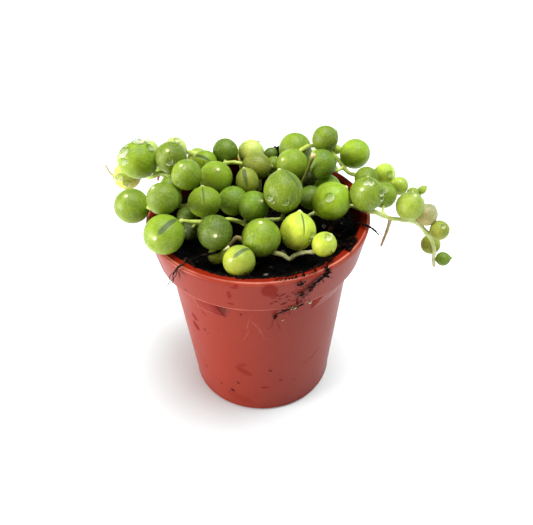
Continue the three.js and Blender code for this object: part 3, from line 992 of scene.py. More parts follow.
        # Painted shade that deepens down the inner wall below the lip, in the same mask as grime.
        lay(dirt_and_shade, np.where(inner, 0.8 * ease(0.4, 3, down), 0))
        tint, trait = np.stack([wet_and_shade, dirt_and_shade, lip, full], -1), np.stack([scuff_and_highlight, under, none, full], -1)
        return closed_grid(spun(grown, height, angle), tint, trait)

    def hole_cutter(self) -> Piece:
        """Plugs that stand where the drain holes go.

        Returns:
            One object that holds every plug.
        """
        places = (np.arange(self.hole_count) + 0.5) / self.hole_count * TURN
        feet = spun(np.full(1, self.hole_ring), -np.ones(1), places)
        rise = np.outer((0, 1.5, 4), Z)
        plugs = [tube(foot + rise, self.hole_radius, 28, np.ones(4)) for foot in feet]
        return Surface.joined(plugs).to_piece("hole_plugs")

    def build(self, palette: Palette) -> Piece:
        """Makes the pot and cuts its drain holes.

        Args:
            palette: The finishes.

        Returns:
            The pot.
        """
        piece = self.surface().to_piece("nursery_pot", palette.pot)
        plugs = self.hole_cutter()
        cut = piece.modifiers.new("drain_holes", "BOOLEAN")
        cut.operation, cut.object, cut.solver = "DIFFERENCE", plugs, "EXACT"
        settled = piece.evaluated_get(bpy.context.evaluated_depsgraph_get())
        settled = bpy.data.meshes.new_from_object(settled)
        piece.modifiers.clear()
        piece.data = settled
        bpy.data.objects.remove(plugs)
        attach(piece, ROOT)
        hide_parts("pot")
        return piece


# ---- peat and roots


@dataclass
class Trail:
    """A string of spilled peat: its places as angle in degrees, distance from the axis and
    height; its core's radius, 0 for loose bits alone; how many crumbs and rootlets (hairs) lie on
    each millimetre; the half size of its largest crumbs; and how far its bits stray."""

    places: Route
    radius: float
    crumbs: float
    coarse: float
    hairs: float = 1.0
    spread: float = 0.4

    def core(self, route: Array, random: np.random.Generator, colour: Array) -> Surface:
        """The tapering core, crooked by chance and rough by sines along and round it.

        Args:
            route: The points along its middle.
            random: The stream of chances.
            colour: Its colour.

        Returns:
            The core.
        """
        share, side = np.linspace(0, 1, len(route))[:, None], circle(7)[None]
        rough = 1 + 0.4 * np.sin(side * 2 + share * 37) * np.sin(share * 53)
        crooked = route + random.normal(0, self.radius * 0.3, route.shape)
        return tube(crooked, self.radius * (1 - 0.4 * share) * rough, 7, colour)

    @staticmethod
    def rootlet(
        place: Array, outwards: Array, random: np.random.Generator, colour: Array
    ) -> Surface:
        """A fine bent rootlet: place + length * (way * t + 0.6 * bend * t^2), t from 0 to 1.

        Args:
            place: Where it starts.
            outwards: The way out from the pot there.
            random: The stream of chances.
            colour: Its colour.

        Returns:
            The rootlet.
        """
        aside = np.cross(Z, outwards)
        way = aside * random.normal(0, 1) + Z * random.normal(0, 0.6) + outwards * 0.1
        bend = aside * random.normal(0, 0.7) + Z * random.normal(0, 0.7)
        t = np.linspace(0, 1, 7)[:, None]
        route = place + random.uniform(0.5, 1.7) * (unit(way) * t + 0.6 * bend * t**2)
        return tube(route, random.uniform(0.035, 0.07), 5, colour)

    def surfaces(self, random: np.random.Generator, black: Array, brown: Array) -> list[Surface]:
        """The core, if it has one, with crumbs and then rootlets strewn along it.

        Args:
            random: The stream of chances.
            black: The colour of the core and of half the bits.
            brown: The colour of the other half.

        Returns:
            The surfaces.
        """
        degrees, reach, height = np.array(self.places, float).T
        route = smooth_route(spun(reach, height, np.radians(degrees)))
        length = float(np.linalg.norm(np.diff(route, axis=0), axis=1).sum())
        made = [self.core(route, random, black)] if self.radius else []
        for number in range(int(length * (self.crumbs + self.hairs))):
            place = route[random.integers(len(route))]
            outwards = unit(place * (1, 1, 0))
            place = place + np.cross(Z, outwards) * random.normal(0, self.spread)
            place = place + Z * random.normal(0, self.spread / 2)
            colour = brown if random.random() > 0.5 else black
            if number < length * self.crumbs:
                sizes = self.coarse * random.uniform(0.25, 1) ** 1.5 * random.uniform(0.4, 1.2, 3)
                made.append(lump(place, sizes, random.uniform(0, 6), number, colour))
            else:
                made.append(self.rootlet(place, outwards, random, colour))
        return made


TRAILS = (
    (((-152, 25, 54), (-140, 25.1, 54.1), (-128, 25.2, 54.2), (-116, 25.3, 54.3)),
     0.4, 3, 0.4, 0.7, 0.25),
    (((-116, 25.3, 54.3), (-104, 25.4, 54.4), (-92, 25.4, 54.4), (-80, 25.4, 54.4)),
     0.42, 3, 0.42, 1, 0.25),
    (((-80, 25.4, 54.4), (-71, 25.6, 54.4), (-62, 25.6, 54.5), (-56, 25.5, 54.5)),
     0.42, 4, 0.45, 3, 0.3),
    (((-84, 26.6, 54.7), (-76, 26.7, 54.7), (-66, 26.9, 54.7), (-58, 26.7, 54.8)), 0, 2.5, 0.35, 2),
    (((-29, 20.6, 51), (-30, 23.6, 52.4), (-32, 25, 54.6), (-33.6, 26.4, 55)), 0.5, 9, 0.6, 6, 0.7),
    (((-36, 21.8, 51.4), (-38, 24.9, 54.6), (-38, 26.7, 55)), 0.5, 9, 0.6, 6, 0.7),
    (((-38, 24.5, 53.4), (-45, 25, 54.4), (-50, 25.2, 54.5), (-54, 25.7, 54.7)),
     0.4, 5, 0.5, 4, 0.3),
    (((-52.5, 25.4, 54.7), (-55, 26.2, 54.9), (-57.5, 27.1, 54.9), (-58.5, 27.8, 54)),
     0.08, 5, 0.3, 9),
    (((-57.8, 27.8, 53.6), (-60, 27.8, 53.3), (-62, 27.7, 52.8), (-63, 27.6, 52.2)),
     0.24, 5, 0.32, 5),
    (((-58.5, 27.8, 52.9), (-57, 27.8, 52.5)), 0.26, 3, 0.3, 1, 0.15),
    (((-62, 27.8, 53.2), (-64.5, 27.7, 52.2), (-65.5, 27.4, 51.2), (-67, 27.2, 50.2)),
     0.1, 5, 0.32, 6),
    (((-64.6, 27.4, 51.4), (-65.4, 27.2, 50.4), (-65.8, 27, 49.2)), 0.1, 1, 0.2, 1, 0.15),
    (((-69.5, 28, 54), (-71.5, 27.9, 53.5), (-73, 27.8, 53.2)), 0, 9, 0.4, 4),
    (((-67, 27.4, 51.6), (-69.4, 27.2, 50.4), (-70.4, 27, 49)), 0.06, 3, 0.2, 6, 0.3),
    (((-70, 26.9, 49.4), (-71, 26.7, 47.8), (-71.4, 26.4, 46.4)), 0, 2, 0.12, 3, 0.25),
    (((-68.8, 26.3, 45.6), (-71, 26.2, 45.2), (-75, 26.2, 45), (-80, 26.1, 44.9)),
     0.16, 2, 0.16, 1, 0.08),
    (((-77, 26.1, 44.9), (-78.5, 25.2, 43.6), (-80.5, 24, 42), (-82.4, 23.4, 40.6)),
     0.1, 3, 0.3, 2, 0.2),
    (((-82, 23.6, 40.8), (-82.6, 23.5, 40)), 0.28, 3, 0.3, 1, 0.1),
    (((-82.4, 23.4, 40.4), (-83.6, 23.2, 38.4), (-84.4, 23, 36.2)), 0.05, 0, 0.1, 0.3),
    (((-74, 27.1, 49.8), (-77, 26.9, 48.4), (-81, 26.9, 48.4)), 0, 1.6, 0.14, 0.6, 0.9),
    (((72, 25.4, 55.2), (74, 25.2, 56.4), (76, 25.2, 57.6)), 1.2, 9, 1.1, 1, 0.6),
)
GRAINS = (
    ((1.2, -20.6, 51.1), 0.6, "b4b8b4"), ((16.3, -2.4, 50.6), 0.7, "c8ccc8"),
    ((5.6, -12.6, 50.9), 0.9, "d8dcd8"), ((-9.5, -20.5, 51), 1.5, "2a2622"),
    ((-6.5, -21.5, 51.2), 0.9, "332c26"), ((22, -8, 50.2), 0.25, "d8dcd8"),
    ((21, -12, 50.2), 0.25, "b8bcb8"), ((6.5, -21, 50.8), 0.25, "d8dcd8"),
    ((17.8, -3.4, 50.4), 1.1, "5e4024"), ((19.6, -5.6, 50.1), 0.5, "4a3020"),
    ((15.4, -6.4, 50.2), 0.6, "3c2a1c"), ((20.8, -1, 50.2), 0.4, "7a6a58"),
    ((2.5, -17.5, 50.6), 0.5, "3c2c20"), ((-8, -20, 50.8), 0.6, "33261c"),
    ((18.5, -9, 50.2), 0.3, "8a8478"), ((-14.5, -14.5, 50.5), 0.5, "2e241c"),
    ((11, -9.8, 50.4), 0.3, "c8ccc8"),
)


@dataclass
class Peat:
    """The root ball, the crumbs, fibres and grains on it, and what has spilled over the lip. Its
    side is points of radius and height. Each of its ripples has a height, a width, how many sines
    it sums and a seed. The stuck crumbs, each a place and a size, hang on stems at the back."""

    level: float = 49.6
    swell: float = 0.35
    front_rise: float = 0.8
    bank: float = 3.0
    edge: float = 24.5
    side: tuple[Pair, ...] = (
        (0, 1.6), (9, 1.6), (18.2, 1.6), (20.2, 22), (22.2, 45.1), (24.5, 46.7), (24.5, 48.6),
    )
    ripples: tuple[tuple[float, float, int, int], ...] = (
        (0.3, 2.6, 9, 3), (0.18, 0.9, 14, 4), (0.1, 0.4, 14, 5),
    )
    crumb_count: int = 620
    crumb_reach: float = 23.6
    least_crumb: float = 0.16
    crumb_growth: float = 0.75
    black_until: float = 0.85
    brown_until: float = 0.992
    fibre_count: int = 70
    fibre_reach: float = 22.0
    black: str = "080606"
    brown: str = "402414"
    white: str = "d8dcd8"
    stuck: tuple[tuple[Triple, float], ...] = (((0.7, 24.3, 60), 0.32), ((0.1, 24.1, 60.4), 0.22))

    def ground(self, x: Array, y: Array) -> Array:
        """The height of the peat: level + swell * (sin(0.55x + 4) cos(0.48y) + 0.6 sin(0.9x -
        0.7y)), rising towards the front and banked up against the front of the lip.

        Args:
            x: Places along X.
            y: Places along Y.

        Returns:
            The heights.
        """
        swell = np.sin(x * 0.55 + 4) * np.cos(y * 0.48) + 0.6 * np.sin(x * 0.9 - y * 0.7)
        rise = self.front_rise * np.maximum(0, (-y - 12) / 12)
        bank = self.bank * ease(23, 24.5, np.hypot(x, y)) * ease(0, 8, -y)
        return self.level + self.swell * swell + rise + bank

    def ball(self) -> Surface:
        """The root ball: its side turned round Z, closed by a top that follows the ground and is
        roughened by ripples.

        Returns:
            The root ball.
        """
        side = np.array(self.side)
        radius = np.append(side[:, 0], np.linspace(self.edge, 0, 90))[:, None]
        flat = spun(radius, 0 * radius, circle(220)[None])
        rough = sum(high * waves(flat, *ripple) for high, *ripple in self.ripples)
        height = self.ground(flat[..., 0], flat[..., 1]) + rough
        height[: len(side)] = side[:, 1:]
        return closed_grid(flat + height[..., None] * Z, linear(self.black))

    def crumbs(self) -> list[Surface]:
        """Crumbs of many sizes, strewn over the ground by a seeded rule.

        Returns:
            The crumbs.
        """
        random = np.random.default_rng(SEED)
        count = self.crumb_count
        reach = self.crumb_reach * np.sqrt(random.random(count))
        angle = random.uniform(0, TURN, count)
        size = self.least_crumb + self.crumb_growth * random.random(count) ** 2.4
        shape = random.uniform(0.6, 1.3, (count, 3))
        x, y = reach * np.cos(angle), reach * np.sin(angle)
        place = np.stack([x, y, self.ground(x, y) + 0.25 * size], 1)
        pick = random.random(count)
        made = []
        for i in range(count):
            white = pick[i] > self.brown_until
            colour = self.brown if pick[i] > self.black_until else self.black
            colour = linear(self.white if white else colour)
            sizes = shape[i] * size[i] * (0.35 if white else 1)
            made.append(lump(place[i], sizes, angle[i] * 3, i, colour))
        return made

    def fibres(self) -> list[Surface]:
        """Fine bent fibres that lie on the ground: their way turns evenly along them.

        Returns:
            The fibres.
        """
        random = np.random.default_rng(SEED + 1)
        made = []
        for i in range(self.fibre_count):
            reach = self.fibre_reach * math.sqrt(random.random())
            angle = random.uniform(0, TURN)
            way, bend = random.uniform(0, TURN), random.uniform(-0.5, 0.5)
            steps = np.linspace(0, random.uniform(2, 6), 7)
            turned = way + bend * steps
            x = reach * math.cos(angle) + np.cumsum(np.cos(turned)) * steps[1]
            y = reach * math.sin(angle) + np.cumsum(np.sin(turned)) * steps[1]
            inside = np.minimum(1, (self.edge - 1) / np.maximum(np.hypot(x, y), 1e-3))
            x, y = x * inside, y * inside
            z = self.ground(x, y) + 0.25 + 0.3 * np.sin(steps * 1.3 + i)
            colour = linear(self.brown if i % 3 else self.black)
            made.append(tube(np.stack([x, y, z], 1), random.uniform(0.06, 0.13), 5, colour))
        return made

    def spill(self) -> list[Surface]:
        """What has spilled over the lip, and the crumbs that hang on the stems at the back.

        Returns:
            The strings, crumbs and rootlets.
        """
        random = np.random.default_rng(SEED + 2)
        black, brown = linear(self.black), linear(self.brown)
        made = [bit for trail in TRAILS for bit in Trail(*trail).surfaces(random, black, brown)]
        for number, (place, size) in enumerate(self.stuck):
            made.append(lump(place, size * np.array([1.4, 1, 0.7]), 0.4, number, black, 6, 8))
        return made

    def grains(self) -> list[Surface]:
        """The larger grains of perlite and the flakes of bark.

        Returns:
            The grains.
        """
        half = np.array([1, 0.8, 0.6])
        return [
            lump(place, half * size, i, 40 + i, linear(colour), 8, 11, 0.35)
            for i, (place, size, colour) in enumerate(GRAINS)
        ]

    def build(self, palette: Palette) -> list[Piece]:
        """Makes the root ball, the strewn crumbs, the grains and the spill.

        Args:
            palette: The finishes.

        Returns:
            The pieces.
        """
        pieces = [
            self.ball().to_piece("root_ball", palette.peat),
            Surface.joined(self.crumbs() + self.fibres()).to_piece("peat_crumbs", palette.peat),
            Surface.joined(self.grains()).to_piece("perlite_grains", palette.root),
            Surface.joined(self.spill()).to_piece("spilled_peat", palette.peat),
        ]
        for piece in pieces:
            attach(piece, ROOT)
            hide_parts("soil")
        return pieces


@dataclass
class DryRoot:
    """A dry root that has strayed over the lip: the solid it stands for, its points, its thickest
    radius, how crooked it is, its bark's colour and the points of each rootlet."""

    name: str
    points: Route
    radius: float = 0.27
    crook: float = 0.12
    colour: str = "2c1e16"
    hairs: tuple[Route, ...] = ()

    def build(self, palette: Palette) -> Piece:
        """Carries a profile along the root: its radius, knots and crooks are sines of the share
        of its length, and it tapers with the cube of that share. Paler bands along it, set by a
        sine, are painted highlights on the dark bark.

        Args:
            palette: The finishes.

        Returns:
            The root.
        """
        route, bark = smooth_route(self.points, 9), linear(self.colour)
        share = np.linspace(0, 1, len(route))
        knots = 1 + 0.18 * np.sin(share * 61) + 0.12 * np.sin(share * 23 + 2)
        radius = self.radius * knots * (1 - 0.55 * share**3)
        crooks = np.stack([np.sin(share * 47), np.cos(share * 39), np.sin(share * 53)], 1)
        # Painted highlights: paler bands at even steps along the root.
        colour = bark * (1 + 1.5 * (np.sin(share * 40)[:, None] > 0.5))
        parts = [tube(route + self.crook * crooks, radius, 10, colour)]
        parts += [tube(smooth_route(hair), 0.08, 6, bark) for hair in self.hairs]
        piece = Surface.joined(parts).to_piece(self.name + "_bark", palette.root)
        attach(piece, ROOT)
        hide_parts(self.name)
        return piece


# ---- leafy stems


class Tone(Enum):
    """The colour of a pearl's skin, from shaded to sunlit, and a pinkish one."""

    SHADE = "263c07"
    DEEP = "5e7c0e"
    OLIVE = "8d9636"
    GREEN = "769016"
    FRESH = "809c18"
    PALE = "a4ba4a"
    LIME = "b7c546"
    STRAW = "cdd87f"
    GLASS = "c7d27a"
    BLUSH = "b0a690"


SHADE, DEEP, OLIVE, GREEN, FRESH, PALE, LIME, STRAW, GLASS, BLUSH = Tone


# The height and the width of each bell that draws out a pearl's point.
POINT_BELLS = ((0.035, 0.55), (0.075, 0.13))
# What a pearl's colour is multiplied by on its shaded side and on its lit side, a painted light
# that makes the side facing the light from the lower left yellower and brighter, and which way
# the lit side and the red-brown underside face.
SHADED_SIDE, LIT_SIDE = np.array([0.9, 0.98, 1.05, 1]), np.array([1.14, 1.02, 0.7, 1])
LIT_SIDE_WAY, RUSTY_WAY = unit(np.array([[-0.6, -0.55, -0.35], [0.0, -0.55, -0.83]]))
RUST = "6a2c18"


@dataclass
class Pearl:
    """One round leaf with a point at its end: its centre and diameter, its colour and how much
    brighter it is; the way its tip faces, if not away from the stem, and the way its window slit
    faces, if it shows; its length over its width, how far the point is drawn out, half the slit's
    width in radians, how red-brown its underside is, and the way and radius of each drop on it."""

    place: Triple
    size: float
    tone: Tone
    bright: float
    tip: Triple | None = None
    window: Triple | None = None
    stretch: float = 1.0
    point: float = 1.0
    slit: float = 0.15
    rust: float = 0.0
    drops: tuple[tuple[float, ...], ...] = ()
    rows: int = 32
    cols: int = 48

    def skin(self, ways: Array, bright: float) -> Array:
        """Its colours: painted light, yellower and brighter where it faces the lit way and cooler
        on the far side, and red-brown underneath.

        Args:
            ways: The way from its middle to each point.
            bright: What its tone is multiplied by.

        Returns:
            The colour at each point.
        """
        colour = linear(self.tone.value)
        colour[:3] *= bright
        # Painted light: the lit side yellower and brighter, the far side cooler.
        tint = colour * mixed(SHADED_SIDE, LIT_SIDE, ease(-0.8, 1.0, ways @ LIT_SIDE_WAY)[..., None])
        rusty = self.rust * ease(0.72, 0.97, ways @ RUSTY_WAY)
        return mixed(tint, linear(RUST), rusty[..., None])

    def surface(self, outwards: Array, seed: int) -> Surface:
        """A ball about the axis of its point: the radius is R (1 + tip + base + ripples - groove),
        where the tip is two bells, the base a low bell at the stalk, and the groove a lens along
        the meridian that faces the window's way.

        Args:
            outwards: The way from the stem to the pearl.
            seed: Picks its ripples and tint.

        Returns:
            The pearl.
        """
        random = np.random.default_rng(seed)
        axis = unit(np.array(self.tip, float)) if self.tip else outwards
        face = self.window or (random.normal(0, 0.4), random.normal(0, 0.4) - 0.3, 1.0)
        first, second = square_to(axis, np.array(face, float))
        polar = (math.pi * np.linspace(1, 0, self.rows) ** 1.35)[:, None]
        wrap = math.pi * np.linspace(-1, 1, self.cols + 1)
        wrap = wrap - 0.6 * np.sin(wrap)
        ways = spun(np.sin(polar), np.cos(polar), wrap[None, :-1], first, second, axis)
        tip = sum(high * bell(width, polar) for high, width in POINT_BELLS)
        base = 0.05 * bell(0.3, math.pi - polar)
        half, deep, strength = (self.slit, 0.03, 1.0) if self.window else (0.05, 0.01, 0.3)
        arc = np.abs(wrap[None, :-1]) * np.sin(polar) / half
        groove = deep * ease(1.3, 0.3, arc) * ease(*SLIT_START, polar) * ease(*SLIT_END, polar)
        reach = 1 + self.point * tip + base + 0.016 * waves(ways, 2.6, 5, seed) - groove
        along = (ways @ axis)[..., None] * axis
        ball = (ways - along + along * self.stretch) * reach[..., None] * self.size / 2
        tint = self.skin(ways, self.bright * random.uniform(0.93, 1.07))
        trait = (strength, half, random.random(), 1)
        place, along = np.array(self.place), 1 - polar[:, 0] / math.pi
        return closed_grid(ball + place, tint, trait, wrap / TURN + 0.5, along)


@dataclass
class Shoot:
    """A thin side shoot or hanging root on a stem: its points, its colours where it leaves the
    stem and at its end, and its thickest radius."""

    points: Route
    near: str
    far: str
    radius: float

    def surface(self) -> Surface:
        """A tapering tube, a little uneven by a sine along it.

        Returns:
            The shoot.
        """
        route = smooth_route(self.points)
        share = np.linspace(0, 1, len(route))
        colour = mixed(linear(self.near), linear(self.far), share[:, None])
        radius = self.radius * (1 - 0.35 * share) * (1 + 0.1 * np.sin(share * 19))
        return tube(route, radius, 10, colour, finish=1)


@dataclass
class Strand:
    """A leafy stem, a short stalk to each pearl, and the pearls: the solid it stands for, its
    points from the peat outwards, its record's slot, which is not used here, the colours of the
    stem and of its end, the stem's radius, the end's as a share of it, how far along the stem the
    end's colour starts and the brown stops, how much and over what length it swells at a stalk,
    the height of its lower end in the peat, and a stalk's radius, with what it gains at the stem
    and at the pearl."""

    name: str
    points: Route
    pearls: tuple[Pearl, ...] = ()
    shoots: tuple[Shoot, ...] = ()
    slot: str = "green_leaf"
    green: str = "c8d878"
    end: str = "c8d878"
    radius: float = 0.52
    end_radius: float = 0.78
    fade_from: float = 0.75
    brown_until: float = 0.16
    node_swell: float = 0.28
    node_length: float = 0.9
    root_depth: float = 45.0
    stalk_radius: float = 0.34
    stalk_foot: float = 0.24
    stalk_seat: float = 0.16

    def route(self) -> Array:
        """The line of the stem, which starts straight up inside the peat."""
        return smooth_route(((*self.points[0][:2], self.root_depth), *self.points), 10)

    def stalk(self, node: Array, pearl: Pearl) -> tuple[Surface, Array]:
        """The short bent stalk of a pearl: a curve (1-t)^2 node + 2t(1-t) bend + t^2 end, thicker
        where it leaves the stem and where it meets the pearl.

        Args:
            node: Where it leaves the stem.
            pearl: The pearl.

        Returns:
            The stalk, and the way from the stem to the pearl.
        """
        place = np.array(pearl.place, float)
        outwards = unit(place - node)
        axis = unit(np.array(pearl.tip, float)) if pearl.tip else outwards
        seat = unit(-outwards - 0.45 * axis)
        end = place + seat * pearl.size * 0.46
        bend = end + seat * 0.35 * np.linalg.norm(node - end) + 0.2 * Z
        t = np.linspace(0, 1, 12)[:, None]
        route = (1 - t) ** 2 * node + 2 * t * (1 - t) * bend + t**2 * end
        foot, seated = self.stalk_foot * bell(0.25, t), self.stalk_seat * ease(0.6, 1, t)
        colour = mixed(linear(self.green), linear(pearl.tone.value), ease(0.3, 1, t))
        return tube(route, self.stalk_radius + foot + seated, 10, colour, finish=1), outwards

    def stem(self, nodes: Array) -> Surface:
        """The stem: a round profile, swollen by a bell at each node, thinner towards the end,
        uneven by sines, and browner where it leaves the peat.

        Args:
            nodes: Where the stalks leave it.

        Returns:
            The stem.
        """
        route = self.route()
        share = np.linspace(0, 1, len(route))
        radius = self.radius * (1 - (1 - self.end_radius) * ease(0.7, 1, share))
        if len(nodes):
            apart = np.linalg.norm(route[:, None] - nodes[None], axis=-1)
            radius = radius * (1 + self.node_swell * bell(self.node_length, apart).max(-1))
        radius = radius * (1 + 0.05 * np.sin(share * 71) + 0.04 * np.sin(share * 31))
        age = ease(self.brown_until, self.brown_until - 0.14, share)[:, None]
        fade = ease(self.fade_from, 1, share)[:, None]
        colour = linear(self.green) * (1 - age) * (1 - fade)
        colour = colour + linear("8a7a4c") * age + linear(self.end) * fade
        stripe = 0.1 * (1 + np.sin(share * 17))[:, None]
        colour = colour * (1 - stripe * np.array([0.3, 0.1, 0.8, 0]))
        return tube(route, radius, 16, colour, finish=1)

    def build(self, palette: Palette, seed: int) -> Piece:
        """Makes the strand in one piece.

        Args:
            palette: The finishes.
            seed: The strand's number, which picks the pearls' ripples.

        Returns:
            The strand.
        """
        line = self.route()
        parts, nodes = [], []
        for number, pearl in enumerate(self.pearls):
            node = line[np.linalg.norm(line - pearl.place, axis=1).argmin()]
            nodes.append(node)
            stalk, outwards = self.stalk(node, pearl)
            parts += [stalk, pearl.surface(outwards, seed * SEEDS_PER_STRAND + number)]
        parts.append(self.stem(np.array(nodes)))
        parts += [shoot.surface() for shoot in self.shoots]
        piece = Surface.joined(parts).to_piece(self.name + "_leaves", palette.leaf, palette.stem)
        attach(piece, ROOT)
        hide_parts(self.name)
        return piece


